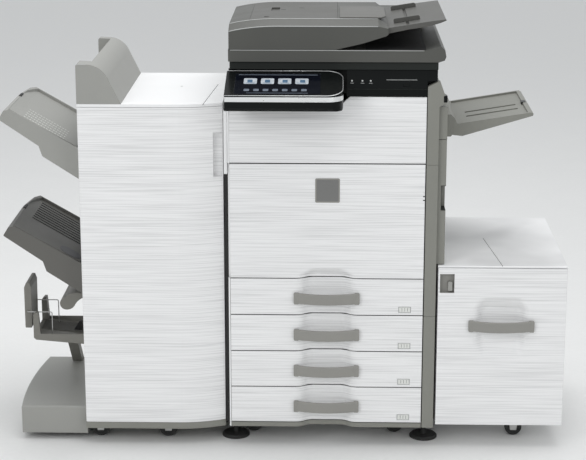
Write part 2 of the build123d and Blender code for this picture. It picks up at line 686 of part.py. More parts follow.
def touch_screen():
    length = sqrt((PANEL_BACK[0] - PANEL_FRONT[0])**2 + (PANEL_BACK[1] - PANEL_FRONT[1])**2)
    mid = (SCREEN_X[0] + SCREEN_X[1]) / 2
    wide = SCREEN_X[1] - SCREEN_X[0]
    return on_panel(mid, length / 2 - 4).location * (Pos(0, 0, -1.2) * Box(wide, 134, 2.6))


def home_pocket():
    return on_panel(287, 82).location * Box(20, 8, 8)


def home_key():
    key = Pos(0, 0, -0.9) * Box(19.2, 7.2, 3.4)
    key = fillet(key.edges().filter_by(Axis.Z), 3)
    return on_panel(287, 82).location * key


# ---------------------------------------------------------------------------------------------
# Finisher
# ---------------------------------------------------------------------------------------------
def finisher_front(inset):
    """Plan edges of the finisher's front, from left to right: straight, then curved back."""
    y = inset
    straight = Line((FIN_X0, y), (FIN_BEND_X, y))
    curve = ThreePointArc((FIN_BEND_X, y), ((FIN_BEND_X + FIN_X1) / 2, y + FIN_BEND * 0.30),
                          (FIN_X1, y + FIN_BEND))
    return straight, curve


def finisher_plan(front, back):
    """Plan of a finisher piece between the curved front and a straight back."""
    straight, curve = finisher_front(front)
    rest = Polyline((FIN_X1, front + FIN_BEND), (FIN_X1, back), (FIN_X0, back), (FIN_X0, front))
    return make_face([*straight.edges(), *curve.edges(), *rest.edges()])


def finisher_frame():
    """White side, back and top panels of the finisher, with an inner shelf."""
    left = block(FIN_X0, FIN_X0 + SHEET, 24, FIN_DEPTH, FIN_DOOR_Z0, FIN_DOOR_Z1 + 1)
    right = block(FIN_X1 - SHEET, FIN_X1, 57, FIN_DEPTH, FIN_DOOR_Z0, FIN_DOOR_Z1 + 1)
    back = block(FIN_X0 + SHEET, FIN_X1 - SHEET, FIN_DEPTH - SHEET, FIN_DEPTH, FIN_DOOR_Z0,
                 FIN_DOOR_Z1 + 1)
    shelf = block(FIN_X0 + SHEET, FIN_X1 - SHEET, 60, FIN_DEPTH - SHEET, 520, 523)
    top = along_z(finisher_plan(0, FIN_DEPTH), FIN_DOOR_Z1 + 1, FIN_TOP_Z)
    top = fillet(top.edges().filter_by(Axis.Z), 2)
    top -= Pos(-56, 160, FIN_TOP_Z) * Rot(0, 0, -4) * Box(1.6, 320, 2)
    stapler = block(-330, -100, 120, 440, 523.5, 640)
    stapler = soften(stapler, 12, Axis.Y)
    rollers = rod_y(FIN_X0 + 30, 100, 440, 930, 14)
    return group(left, right, back, shelf, top, stapler, rollers)


def finisher_base():
    """Grey base of the finisher, following the door's curve."""
    base = along_z(finisher_plan(0, FIN_DEPTH), FIN_BASE_Z, FIN_DOOR_Z0 - 0.7)
    for name, (x, y_front, y_rear, _) in CASTERS.items():
        if name.startswith("finisher"):
            for y in (y_front, y_rear):
                base -= block(x - 32, x + 32, y - 22, y + 22, FIN_BASE_Z - 1, FIN_BASE_Z + WELL_DEEP)
    return base


def finisher_door():
    """Full-height door that curves back on the right, with a vertical grip recess."""
    door = along_z(finisher_plan(0, FIN_DEPTH), FIN_DOOR_Z0, FIN_DOOR_Z1)
    door -= along_z(finisher_plan(22, FIN_DEPTH + 1), FIN_DOOR_Z0 - 1, FIN_DOOR_Z1 + 1)
    left = door.edges().filter_by(Axis.Z).sort_by(Axis.X)[:2].sort_by(Axis.Y)[:1]
    door = fillet(left, 5)
    door -= block(-41, -17, 0, 38, 798, 925)
    x, y = FIN_PIVOT
    door -= rod_z(x, y, FIN_DOOR_Z0 - 1, FIN_DOOR_Z0 + 12, DOOR_PIN_R + PIN_FIT)
    door -= rod_z(x, y, FIN_DOOR_Z1 - 12, FIN_DOOR_Z1 + 1, DOOR_PIN_R + PIN_FIT)
    return one(door)


def exit_hood():
    """Hood over the upper exit, scooped out on the side where the sheets come out."""
    edges = [
        Polyline((-295, FIN_TOP_Z), (FIN_X0, FIN_TOP_Z), (FIN_X0, 1116), (FIN_X0 + 4, 1120),
                 (-390, 1119)),
        ThreePointArc((-390, 1119), (-352, 1107), (-328, 1076)),
        Line((-328, 1076), (-295, FIN_TOP_Z)),
    ]
    face = make_face([edge for part in edges for edge in part.edges()])
    hood = along_y(face, 2, 505)
    throat = [
        Polyline((FIN_X0 - 1, 1072), (-410, 1072)),
        ThreePointArc((-410, 1072), (-390, 1082), (-381, 1103)),
        Polyline((-381, 1103), (-381, 1130), (FIN_X0 - 1, 1130), (FIN_X0 - 1, 1072)),
    ]
    throat_face = make_face([edge for part in throat for edge in part.edges()])
    hood -= along_y(throat_face, 62, 474)
    hood -= block(-384, -374, 66, 470, 1103, 1109)
    return one(hood)


def tray_plan(inset, inner_x):
    """Plan of an output tray: its outer end is an arc, set in by inset."""
    near, middle, far = -654 + inset, -645 + inset, -612 + inset
    arc = ThreePointArc((near, TRAY_Y0), (middle, 290), (far, TRAY_Y1))
    sides = Polyline((far, TRAY_Y1), (inner_x, TRAY_Y1), (inner_x, TRAY_Y0), (near, TRAY_Y0))
    return make_face([*arc.edges(), *sides.edges()])


def stack_tray(drop):
    """Sloping output tray with a rounded outer end, raised edges and an open underside."""
    edge_x = FIN_X0 - 1.2
    skirt = outline([(-655, 948), (-650, 944), (-543, 871), (-533, 841), (edge_x, 768), (edge_x, 860),
                     (-437, 869), (-623, 976), (-640, 972)])
    tray = along_y(skirt, TRAY_Y0, TRAY_Y1)
    tray = tray & along_z(tray_plan(0, edge_x), 700, 1000)
    inside = along_z(tray_plan(8, edge_x + 2), 700, 1001)
    bed = outline([(-634, 985), (-628, 972.5), (-606, 957), (-441, 861), (edge_x + 1, 856),
                   (edge_x + 1, 1000), (-634, 1000)])
    tray -= along_y(bed, TRAY_Y0 + 7, TRAY_Y1 - 6) & inside
    under = outline([(-632, 938), (-537, 874), (-527, 845), (edge_x - 5, 778), (edge_x - 5, 840),
                     (-460, 858), (-618, 950)])
    tray -= along_y(under, TRAY_Y0 + 6, TRAY_Y1 - 6) & inside
    return Pos(0, 0, -drop) * one(tray)


def booklet_tray():
    """Low trough for folded booklets: sloping floor, two walls, two end posts and a strut."""
    floor = outline([(FIN_X0 - 0.5, 258), (-580, 272), (-587, 278), (-587, 286), (FIN_X0 - 0.5, 270)])
    tray = along_y(floor, BOOK_Y0, BOOK_Y1)
    wall = outline([(FIN_X0 - 0.5, 258), (-580, 272), (-587, 278), (-587, 290), (FIN_X0 - 0.5, 290)])
    tray = tray.fuse(along_y(wall, BOOK_Y0, BOOK_Y0 + 5)).fuse(along_y(wall, BOOK_Y1 - 5, BOOK_Y1))
    post = outline([(-587, 280), (-587, 348), (-580, 356), (-572, 356), (-566, 282)])
    tray = tray.fuse(along_y(post, BOOK_Y0, BOOK_Y0 + 14)).fuse(along_y(post, BOOK_Y1 - 26, BOOK_Y1))
    strut = outline([(BOOK_Y1 - 40, 270), (BOOK_Y1, 270), (456, 104), (420, 104)])
    tray = tray.fuse(along_x(strut, -520, -490))
    for y in WIRE_Y:
        tray -= rod_z(WIRE_X, y, 276, 300, WIRE_R)
    return one(tray)


def wire_guide():
    """Bent wire: up from each side of the booklet tray, out, and across through the gate."""
    x_in = WIRE_X
    x_out, z_bar = GATE_PIVOT
    y_near, y_far = WIRE_Y
    points = [(x_in, y_near, 277), (x_in, y_near, z_bar), (x_out, y_near, z_bar),
              (x_out, y_far, z_bar), (x_in, y_far, z_bar), (x_in, y_far, 277)]
    path = FilletPolyline(*points, radius=5)
    return sweep(Plane(path @ 0, z_dir=path % 0) * Circle(WIRE_R), path=path)


def booklet_gate():
    """End stop that hangs on the wire."""
    face = outline([(-616, 300), (-596, 300), (-595, 424), (-600, 439), (-610, 439), (-616, 424)], 3)
    gate = along_y(face, WIRE_Y[0] + 8, WIRE_Y[1] - 8)
    gate -= rod_y(GATE_PIVOT[0], *WIRE_Y, GATE_PIVOT[1], WIRE_R + PIN_FIT)
    return gate


def booklet_flap():
    """Press flap that hangs over the booklet exit, on a pin in two lugs."""
    face = make_face([
        *Polyline((-424, 404), (-424, 415), (-446, 415)).edges(),
        *ThreePointArc((-446, 415), (-474, 413), (-494, 401)).edges(),
        *ThreePointArc((-494, 401), (-507, 379), (-492, 364)).edges(),
        *ThreePointArc((-492, 364), (-476, 366), (-462, 380)).edges(),
        *ThreePointArc((-462, 380), (-447, 396), (-424, 404)).edges(),
    ])
    flap = along_y(face, BOOK_Y0 + 8, BOOK_Y1 - 8)
    x, z = FLAP_PIVOT
    flap -= rod_y(x, BOOK_Y0, BOOK_Y1, z, FLAP_PIN_R + PIN_FIT)
    return flap


def floor_bin():
    """Low skirt at the finisher's foot."""
    edges = [
        Polyline((FIN_X0 - 0.5, 30), (-612, 30)),
        ThreePointArc((-612, 30), (-622, 240), (-600, 462)),
        Polyline((-600, 462), (FIN_X0 - 0.5, 462), (FIN_X0 - 0.5, 30)),
    ]
    face = make_face([edge for part in edges for edge in part.edges()])
    base = along_z(face, 20, 104)
    rim = base.edges().group_by(Axis.Z)[-1].filter_by(lambda edge: edge.center().X < -450)
    base = fillet(rim, 6)
    base -= block(-596, FIN_X0, 40, 452, 15, 96)
    return base


# ---------------------------------------------------------------------------------------------
# Paper cabinet
# ---------------------------------------------------------------------------------------------
def lcc_cabinet():
    """Side, back, base and top panels of the paper cabinet."""
    top_z = LCC_TOP - 5
    left = block(LCC_X0, LCC_X0 + SHEET, 26, LCC_DEPTH, LCC_Z0, top_z)
    right = block(LCC_X1 - SHEET, LCC_X1, 26, LCC_DEPTH, LCC_Z0, top_z)
    back = block(LCC_X0 + SHEET, LCC_X1 - SHEET, LCC_DEPTH - SHEET, LCC_DEPTH, LCC_Z0, top_z)
    base = block(LCC_X0 + SHEET, LCC_X1 - SHEET, 26, LCC_DEPTH - SHEET, LCC_Z0, LCC_Z0 + 6)
    top = block(LCC_X0, LCC_X1, 1, LCC_DEPTH, top_z, LCC_TOP)
    top = fillet(top.edges().filter_by(Axis.X).sort_by(Axis.Y)[:2].sort_by(Axis.Z)[-1:], 4)
    top -= Pos(762, 150, LCC_TOP) * Rot(0, 0, 6) * Box(1.6, 300, 2)
    return group(left, right, back, base, top)


def lcc_front():
    """Cabinet drawer front with a closed finger scoop and the latch pocket."""
    front = block(LCC_X0 + 1, LCC_X1, 0, 24, LCC_Z0 + 0.5, LCC_TOP - 6.5)
    half, depth = 84.0, SCOOP_DEPTH
    bowl_low = Plane.XY.offset(LCC_HANDLE_Z - 96) * scoop_face(LCC_MID, 1.0, half * 0.8, half * 0.4)
    bowl_mid0 = Plane.XY.offset(LCC_HANDLE_Z - 50) * scoop_face(LCC_MID, depth, half, half * 0.5)
    bowl_mid1 = Plane.XY.offset(LCC_HANDLE_Z + 50) * scoop_face(LCC_MID, depth, half, half * 0.5)
    bowl_high = Plane.XY.offset(LCC_HANDLE_Z + 84) * scoop_face(LCC_MID, 1.0, half * 0.8, half * 0.4)
    front -= loft([bowl_low, bowl_mid0])
    front -= loft([bowl_mid0, bowl_mid1])
    front -= loft([bowl_mid1, bowl_high])
    front -= block(601, 642, -1, 12, 467, 523)
    return one(front)


def lcc_latch():
    """Release lever in its dark pocket."""
    lever = block(624, 636, -2, 10, 474, 500)
    return soften(lever, 3, Axis.Y)


def lcc_tray():
    """Deep paper tray behind the cabinet front."""
    tray = block(604, 952, 24.5, 525, LCC_Z0 + 12, 500)
    tray -= block(607, 949, 28, 522, LCC_Z0 + 15, 501)
    return tray


# ---------------------------------------------------------------------------------------------
# Assembly
# ---------------------------------------------------------------------------------------------
def drawer_bottom(number):
    """Bottom of drawer front 1 (top) to 4 (bottom)."""
    return DRAWER_Z + (DRAWER_COUNT - number) * DRAWER_PITCH


def build_parts():
    parts = {
        "main_frame": main_frame(),
        "side_covers": side_covers(),
        "rear_cover": rear_cover(),
        "grey_trim": grey_trim(),
        "upper_front_cover": upper_front_cover(),
        "console_front": console_front(),
        "power_key": power_key(),
        "scanner_housing": scanner_housing(),
        "scan_carriage": scan_carriage(),
        "platen_glass": platen_glass(),
        "toner_cartridges": toner_cartridges(),
        "image_unit": image_unit(),
        "levelling_feet": levelling_feet(),
        "caster_forks": caster_forks(),
        "front_door": front_door(),
        "hinge_brackets": hinge_brackets(),
        "side_door": side_door(),
        "exit_tray": exit_tray(),
        "platen_lid": platen_lid(),
        "feeder_body": feeder_body(),
        "feeder_cover": feeder_cover(),
        "document_tray": document_tray(),
        "guide_front": document_guide(-1),
        "guide_rear": document_guide(1),
        "panel_housing": panel_housing(),
        "touch_screen": touch_screen(),
        "home_key": home_key(),
        "finisher_frame": finisher_frame(),
        "finisher_base": finisher_base(),
        "finisher_door": finisher_door(),
        "exit_hood": exit_hood(),
        "upper_tray": stack_tray(0.0),
        "lower_tray": stack_tray(TRAY_DROP),
        "booklet_tray": booklet_tray(),
        "wire_guide": wire_guide(),
        "booklet_gate": booklet_gate(),
        "booklet_flap": booklet_flap(),
        "floor_bin": floor_bin(),
        "lcc_cabinet": lcc_cabinet(),
        "lcc_front": lcc_front(),
        "lcc_handle": bow_handle(LCC_MID, LCC_HANDLE_Z),
        "lcc_latch": lcc_latch(),
        "lcc_tray": lcc_tray(),
    }
    for number in range(1, DRAWER_COUNT + 1):
        z0 = drawer_bottom(number)
        parts[f"drawer_front_{number}"] = drawer_front(z0)
        parts[f"drawer_handle_{number}"] = bow_handle(FRONT_MID, z0 + HANDLE_RISE)
        parts[f"paper_tray_{number}"] = paper_tray(z0)
    for name, place in CASTERS.items():
        parts[name] = wheel_pair(*place)
    return parts


def origin_shift(parts):
    """Vector that brings the bottom centre of everything to the origin."""
    boxes = [shape.bounding_box() for shape in parts.values()]
    left = min(box.min.X for box in boxes)
    right = max(box.max.X for box in boxes)
    front = min(box.min.Y for box in boxes)
    back = max(box.max.Y for box in boxes)
    floor = min(box.min.Z for box in boxes)
    return Vector(-(left + right) / 2, -(front + back) / 2, -floor)


def main():
    parts = build_parts()
    shift = origin_shift(parts)
    print("nodes", len(parts), "shift", shift)
    for name, shape in parts.items():
        export_step(Pos(shift) * shape, f"parts/{name}.step")


if __name__ == "__main__":
    main()
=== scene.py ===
import json
from math import atan2, cos, pi, radians, sin

import bmesh
import bpy
from mathutils import Matrix, Vector


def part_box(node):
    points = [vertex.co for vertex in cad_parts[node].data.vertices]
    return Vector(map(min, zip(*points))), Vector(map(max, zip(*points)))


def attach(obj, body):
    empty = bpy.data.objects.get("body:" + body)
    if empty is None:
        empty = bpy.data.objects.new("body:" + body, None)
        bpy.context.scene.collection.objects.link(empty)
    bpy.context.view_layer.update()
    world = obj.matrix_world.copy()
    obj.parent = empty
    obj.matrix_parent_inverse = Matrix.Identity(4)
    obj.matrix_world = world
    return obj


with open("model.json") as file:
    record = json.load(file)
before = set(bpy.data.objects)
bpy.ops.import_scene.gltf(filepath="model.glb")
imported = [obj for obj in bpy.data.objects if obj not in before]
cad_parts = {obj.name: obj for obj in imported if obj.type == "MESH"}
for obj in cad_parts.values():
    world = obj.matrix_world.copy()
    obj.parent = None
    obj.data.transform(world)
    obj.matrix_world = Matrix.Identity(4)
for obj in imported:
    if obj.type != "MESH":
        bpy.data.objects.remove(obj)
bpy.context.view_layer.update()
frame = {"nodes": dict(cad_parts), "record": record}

# ---------------------------------------------------------------------------------------------
# Datum: X = 0 at the main body's left face, Y = 0 at the drawer fronts, Z = 0 on the floor.
# Sizes below are millimetres from it; at() turns them into metres in the shared frame.
# ---------------------------------------------------------------------------------------------
DATUM_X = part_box("side_covers")[0].x
DATUM_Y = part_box("drawer_front_1")[0].y


def at(x, y, z):
    """A point in the shared frame, in metres, from millimetres off the datum."""
    return Vector((DATUM_X + x / 1000, DATUM_Y + y / 1000, z / 1000))


def low_mm(node):
    """Lowest corner of a CAD node, in millimetres from the datum."""
    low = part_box(node)[0]
    return Vector(((low.x - DATUM_X) * 1000, (low.y - DATUM_Y) * 1000, low.z * 1000))


def high_mm(node):
    """Highest corner of a CAD node, in millimetres from the datum."""
    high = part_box(node)[1]
    return Vector(((high.x - DATUM_X) * 1000, (high.y - DATUM_Y) * 1000, high.z * 1000))


# ---------------------------------------------------------------------------------------------
# Materials
# ---------------------------------------------------------------------------------------------
MATERIALS = {}


def new_tree(name):
    """A new material under that name: its node tree and its shader."""
    material = bpy.data.materials.new(name)
    material.use_nodes = True
    MATERIALS[name] = material
    return material.node_tree, material.node_tree.nodes["Principled BSDF"]


def noise(tree, stretch, scale, detail=4.0):
    """Noise in the object's own coordinates, stretched along its axes."""
    coords = tree.nodes.new("ShaderNodeTexCoord")
    mapping = tree.nodes.new("ShaderNodeMapping")
    mapping.inputs["Scale"].default_value = stretch
    texture = tree.nodes.new("ShaderNodeTexNoise")
    texture.inputs["Scale"].default_value = scale
    texture.inputs["Detail"].default_value = detail
    tree.links.new(coords.outputs["Object"], mapping.inputs["Vector"])
    tree.links.new(mapping.outputs["Vector"], texture.inputs["Vector"])
    return texture.outputs[0]


def ramp(tree, value, low, high, start=0.35, end=0.65):
    """Colour that goes from low to high as value rises."""
    node = tree.nodes.new("ShaderNodeValToRGB")
    node.color_ramp.elements[0].position = start
    node.color_ramp.elements[1].position = end
    node.color_ramp.elements[0].color = (*low, 1)
    node.color_ramp.elements[1].color = (*high, 1)
    tree.links.new(value, node.inputs["Fac"])
    return node.outputs["Color"]


def span(tree, value, low, high):
    """Value mapped to the range from low to high."""
    node = tree.nodes.new("ShaderNodeMapRange")
    node.inputs["From Min"].default_value = 0.3
    node.inputs["From Max"].default_value = 0.7
    node.inputs["To Min"].default_value = low
    node.inputs["To Max"].default_value = high
    tree.links.new(value, node.inputs["Value"])
    return node.outputs["Result"]


def edge_mask(tree, radius, strength):
    """1 along rounded edges, 0 on flat faces, and the rounded normal itself."""
    bevel = tree.nodes.new("ShaderNodeBevel")
    bevel.samples = 6
    bevel.inputs["Radius"].default_value = radius
    geometry = tree.nodes.new("ShaderNodeNewGeometry")
    dot = tree.nodes.new("ShaderNodeVectorMath")
    dot.operation = "DOT_PRODUCT"
    tree.links.new(bevel.outputs["Normal"], dot.inputs[0])
    tree.links.new(geometry.outputs["Normal"], dot.inputs[1])
    mask = tree.nodes.new("ShaderNodeMapRange")
    mask.inputs["From Min"].default_value = 0.99
    mask.inputs["From Max"].default_value = 0.80
    mask.inputs["To Max"].default_value = strength
    tree.links.new(dot.outputs["Value"], mask.inputs["Value"])
    return mask.outputs["Result"], bevel.outputs["Normal"]


def bump(tree, height, distance, normal):
    """The rounded normal, roughened by a height texture."""
    node = tree.nodes.new("ShaderNodeBump")
    node.inputs["Distance"].default_value = distance
    node.inputs["Strength"].default_value = 0.5
    tree.links.new(height, node.inputs["Height"])
    tree.links.new(normal, node.inputs["Normal"])
    return node.outputs["Normal"]


def mix_colours(tree, first, second, factor):
    """A node that blends two colour links by a fixed share."""
    node = tree.nodes.new("ShaderNodeMix")
    node.data_type = "RGBA"
    node.inputs["Factor"].default_value = factor
    tree.links.new(first, node.inputs["A"])
    tree.links.new(second, node.inputs["B"])
    return node.outputs["Result"]


def edge_tint(tree, mask, colour, edge_colour):
    """A colour link that turns to the edge colour where the mask is 1."""
    node = tree.nodes.new("ShaderNodeMix")
    node.data_type = "RGBA"
    node.inputs["B"].default_value = (*edge_colour, 1)
    tree.links.new(mask, node.inputs["Factor"])
    tree.links.new(colour, node.inputs["A"])
    return node.outputs["Result"]


def shade(colour, amount):
    """The colour, made lighter or darker by a factor."""
    return tuple(min(1.0, channel * amount) for channel in colour)


def plastic(name, colour, vary=0.05, rough=(0.42, 0.52), grain=900.0, depth=0.00008,
            stretch=(1, 1, 1), drift=(3, 3, 3), edge=0.25, radius=0.0012, metallic=0.0, gloss=0.5):
    """Moulded plastic or painted steel: cloudy tone, fine grain, and rounded edges painted lighter
    as a highlight.
    """
    tree, shader = new_tree(name)
    fine = noise(tree, stretch, grain)
    broad = noise(tree, drift, 2.5, 3.0)
    grain_colour = ramp(tree, fine, shade(colour, 1 - vary), shade(colour, 1 + vary))
    broad_colour = ramp(tree, broad, shade(colour, 1 - vary), shade(colour, 1 + vary * 0.6))
    base = mix_colours(tree, grain_colour, broad_colour, 0.45)
    mask, rounded_normal = edge_mask(tree, radius, edge)
    # rounded edges a third lighter: painted highlight
    edged = edge_tint(tree, mask, base, shade(colour, 1.35))
    tree.links.new(edged, shader.inputs["Base Color"])
    tree.links.new(span(tree, broad, *rough), shader.inputs["Roughness"])
    tree.links.new(bump(tree, fine, depth, rounded_normal), shader.inputs["Normal"])
    shader.inputs["Metallic"].default_value = metallic
    shader.inputs["Specular IOR Level"].default_value = gloss
    return MATERIALS[name]


def glass(name, colour):
    """Clear plate with faint smears."""
    tree, shader = new_tree(name)
    smear = noise(tree, (1, 3, 1), 12.0)
    tree.links.new(ramp(tree, smear, shade(colour, 0.96), colour), shader.inputs["Base Color"])
    tree.links.new(span(tree, smear, 0.03, 0.09), shader.inputs["Roughness"])
    shader.inputs["Transmission Weight"].default_value = 0.9
    shader.inputs["IOR"].default_value = 1.5


def lit(name, low, high, strength):
    """Backlit area of a display, with a slight unevenness."""
    tree, shader = new_tree(name)
    colour = ramp(tree, noise(tree, (1, 1, 1), 60.0), low, high)
    tree.links.new(colour, shader.inputs["Base Color"])
    tree.links.new(colour, shader.inputs["Emission Color"])
    shader.inputs["Emission Strength"].default_value = strength
    shader.inputs["Roughness"].default_value = 0.15


def striated(name, colour):
    """White panel with a pressed pattern of fine, uneven level lines."""
    tree, shader = new_tree(name)
    lines = noise(tree, (0.009, 0.009, 1.0), 400.0, 2.5)
    threads = noise(tree, (0.006, 0.006, 1.0), 820.0, 2.0)
    broad = noise(tree, (1, 1, 1), 3.0, 3.0)
    tone = ramp(tree, lines, shade(colour, 0.72), colour, 0.36, 0.53)
    thread_tone = ramp(tree, threads, shade(colour, 0.80), colour, 0.36, 0.58)
    mixed = mix_colours(tree, tone, thread_tone, 0.40)
    mask, rounded_normal = edge_mask(tree, 0.0016, 0.5)
    # a little darker along the rounded edges
    edged = edge_tint(tree, mask, mixed, shade(colour, 0.93))
    tree.links.new(edged, shader.inputs["Base Color"])
    tree.links.new(span(tree, broad, 0.36, 0.48), shader.inputs["Roughness"])
    tree.links.new(bump(tree, lines, 0.0005, rounded_normal), shader.inputs["Normal"])


striated("white_panel", (0.86, 0.86, 0.86))
plastic("white_smooth", (0.84, 0.842, 0.842), vary=0.02, rough=(0.36, 0.46), edge=0.10)
plastic("grey_trim", (0.225, 0.225, 0.200), vary=0.06, rough=(0.44, 0.55))
plastic("light_grey", (0.315, 0.315, 0.295), vary=0.05, rough=(0.42, 0.52))
plastic("tray_grey", (0.185, 0.18, 0.16), vary=0.06, rough=(0.45, 0.56))
plastic("tray_dark", (0.115, 0.112, 0.102), vary=0.07, rough=(0.42, 0.55))
plastic("feeder_grey", (0.076, 0.077, 0.069), vary=0.08, rough=(0.40, 0.50), grain=1400.0,
        depth=0.00012)
plastic("feeder_top", (0.086, 0.085, 0.078), vary=0.07, rough=(0.42, 0.52), grain=1400.0,
        depth=0.00012)
plastic("feeder_light", (0.115, 0.113, 0.104), vary=0.06, rough=(0.42, 0.52), grain=1400.0,
        depth=0.0001)
plastic("dark_plastic", (0.018, 0.021, 0.019), vary=0.08, rough=(0.40, 0.50), gloss=0.20)
plastic("gloss_black", (0.006, 0.007, 0.007), vary=0.10, rough=(0.16, 0.25), depth=0.00001,
        gloss=0.12)
plastic("handle_grey", (0.265, 0.26, 0.24), vary=0.05, rough=(0.38, 0.47))
plastic("screen_glass", (0.004, 0.005, 0.009), vary=0.15, rough=(0.08, 0.15), depth=0.000005,
        drift=(8, 20, 8), gloss=0.14)
plastic("steel", (0.52, 0.52, 0.51), vary=0.08, rough=(0.28, 0.42), metallic=1.0,
        stretch=(0.4, 6, 0.4), grain=160.0, depth=0.00004)
plastic("toner_plastic", (0.05, 0.05, 0.055), vary=0.08, rough=(0.35, 0.45))
plastic("image_plastic", (0.08, 0.08, 0.09), vary=0.08, rough=(0.38, 0.5))
plastic("rubber", (0.022, 0.022, 0.021), vary=0.12, rough=(0.62, 0.75), depth=0.00025)
plastic("black_seal", (0.012, 0.012, 0.012), vary=0.12, rough=(0.55, 0.68), depth=0.00015)
plastic("silver", (0.86, 0.87, 0.87), vary=0.05, rough=(0.24, 0.34), metallic=0.7,
        stretch=(0.3, 5, 5), grain=200.0, depth=0.00003)
plastic("badge_metal", (0.20, 0.20, 0.195), vary=0.06, rough=(0.30, 0.40), metallic=0.5,
        stretch=(0.4, 6, 6), grain=240.0, depth=0.00003)
plastic("paper", (0.72, 0.73, 0.70), vary=0.03, rough=(0.6, 0.7), depth=0.00004, edge=0.0)
plastic("mark_grey", (0.45, 0.46, 0.45), vary=0.04, rough=(0.4, 0.5))
glass("glass", (0.80, 0.86, 0.85))
lit("screen_tile", (0.30, 0.33, 0.36), (0.42, 0.45, 0.48), 0.35)
lit("screen_glyph", (0.05, 0.10, 0.16), (0.08, 0.14, 0.22), 0.25)
lit("screen_dim", (0.10, 0.12, 0.15), (0.14, 0.16, 0.19), 0.25)

# CAD nodes whose look differs from that of their slot
NODE_MATERIALS = {
    "lower_tray": "tray_dark",
    "feeder_cover": "feeder_top",
    "document_tray": "feeder_top",
    "guide_front": "feeder_top",
    "guide_rear": "feeder_top",
    "panel_housing": "gloss_black",
    "finisher_frame": "white_smooth",
    "side_covers": "white_smooth",
    "lcc_handle": "handle_grey",
    "lcc_latch": "light_grey",
    "floor_bin": "light_grey",
}


def paint_cad():
    """Gives every CAD node the material of its slot, or its own where it differs."""
    for entry in frame["record"]["subparts"]:
        node = entry["node"]
        material = MATERIALS[NODE_MATERIALS.get(node, entry["material_slot"])]
        obj = frame["nodes"][node]
        if not obj.material_slots:
            obj.data.materials.append(material)
        for place in obj.material_slots:
            place.material = material


# ---------------------------------------------------------------------------------------------
# Mesh helpers
# ---------------------------------------------------------------------------------------------
def finish_piece(name, mesh_maker, body, material):
    """Makes the object from a filled bmesh, paints it and lets it ride on its body."""
    mesh = bpy.data.meshes.new(name)
    bmesh.ops.recalc_face_normals(mesh_maker, faces=mesh_maker.faces)
    mesh_maker.to_mesh(mesh)
    mesh_maker.free()
    mesh.materials.append(MATERIALS[material])
    obj = bpy.data.objects.new(name, mesh)
    bpy.context.scene.collection.objects.link(obj)
    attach(obj, body)
    return obj


def add_prism(bm, points, thickness, place=Matrix(), radius=0.0, segments=2):
    """Adds a closed prism: a flat outline in local XY, grown along local Z, with rounded edges."""
    faces_before = set(bm.faces)
    edges_before = set(bm.edges)
    base = [bm.verts.new((x, y, 0)) for x, y in points]
    face = bm.faces.new(base)
    grown = bmesh.ops.extrude_face_region(bm, geom=[face])
    moved = [item for item in grown["geom"] if isinstance(item, bmesh.types.BMVert)]
    bmesh.ops.translate(bm, verts=moved, vec=(0, 0, thickness))
    new_edges = [edge for edge in bm.edges if edge not in edges_before]
    if radius > 0:
        bmesh.ops.bevel(bm, geom=new_edges, offset=radius, segments=segments, affect="EDGES",
                        profile=0.5, clamp_overlap=True)
    new_faces = [item for item in bm.faces if item not in faces_before]
    verts = {vert for item in new_faces for vert in item.verts}
    bmesh.ops.transform(bm, matrix=place, verts=list(verts))


def rectangle(x0, x1, y0, y1):
    """Outline of a rectangle."""
    return [(x0, y0), (x1, y0), (x1, y1), (x0, y1)]


def rounded(x0, x1, y0, y1, radius, steps=5):
    """Outline of a rectangle with round corners."""
    points = []
    corners = ((x1 - radius, y0 + radius, -90), (x1 - radius, y1 - radius, 0),
               (x0 + radius, y1 - radius, 90), (x0 + radius, y0 + radius, 180))
    for cx, cy, start in corners:
        for step in range(steps + 1):
            angle = radians(start + 90 * step / steps)
            points.append((cx + radius * cos(angle), cy + radius * sin(angle)))
    return points


def circle(cx, cy, radius, count=20):
    """Outline of a circle, as a polygon."""
    return [(cx + radius * cos(2 * pi * k / count), cy + radius * sin(2 * pi * k / count))
            for k in range(count)]


def metres(points):
    """Flat points from millimetres to metres."""
    return [(x / 1000, y / 1000) for x, y in points]


def facing_front(x, y, z):
    """Local X to the right, local Y up, local Z towards the viewer in front."""
    return Matrix.Translation(at(x, y, z)) @ Matrix.Rotation(radians(90), 4, "X")


def facing_up(x, y, z):
    """Local axes along the shared frame's axes."""
    return Matrix.Translation(at(x, y, z))


def facing_back(x, y, z):
    """Local X to the left as seen from the front, local Y up, local Z out of the back."""
    turn = Matrix.Rotation(pi, 4, "Z") @ Matrix.Rotation(radians(90), 4, "X")
    return Matrix.Translation(at(x, y, z)) @ turn


def facing_right(x, y, z):
    """Local X towards the back, local Y up, local Z to the right."""
    turn = Matrix.Rotation(radians(90), 4, "Z") @ Matrix.Rotation(radians(90), 4, "X")
    return Matrix.Translation(at(x, y, z)) @ turn


def along_y_from(y):
    """Side profiles: local X is X, local Y is Z, and the prism grows from y towards the back."""
    origin = Matrix.Translation(at(0, y, 0))
    flip = Matrix(((1, 0, 0, 0), (0, 0, 1, 0), (0, 1, 0, 0), (0, 0, 0, 1)))
    return origin @ flip


def prism(name, outline, thickness, place, radius, body, material):
    """One piece: an outline in millimetres, grown by thickness in millimetres."""
    bm = bmesh.new()
    add_prism(bm, metres(outline), thickness / 1000, place, radius / 1000)
    return finish_piece(name, bm, body, material)


def block(name, x0, x1, y0, y1, z0, z1, radius, body, material):
    """One piece: a block with rounded edges."""
    return prism(name, rectangle(0, x1 - x0, 0, y1 - y0), z1 - z0, facing_up(x0, y0, z0), radius,
                 body, material)


STRIP_EASE = 0.6                            # how much the outer edges of a strip are eased


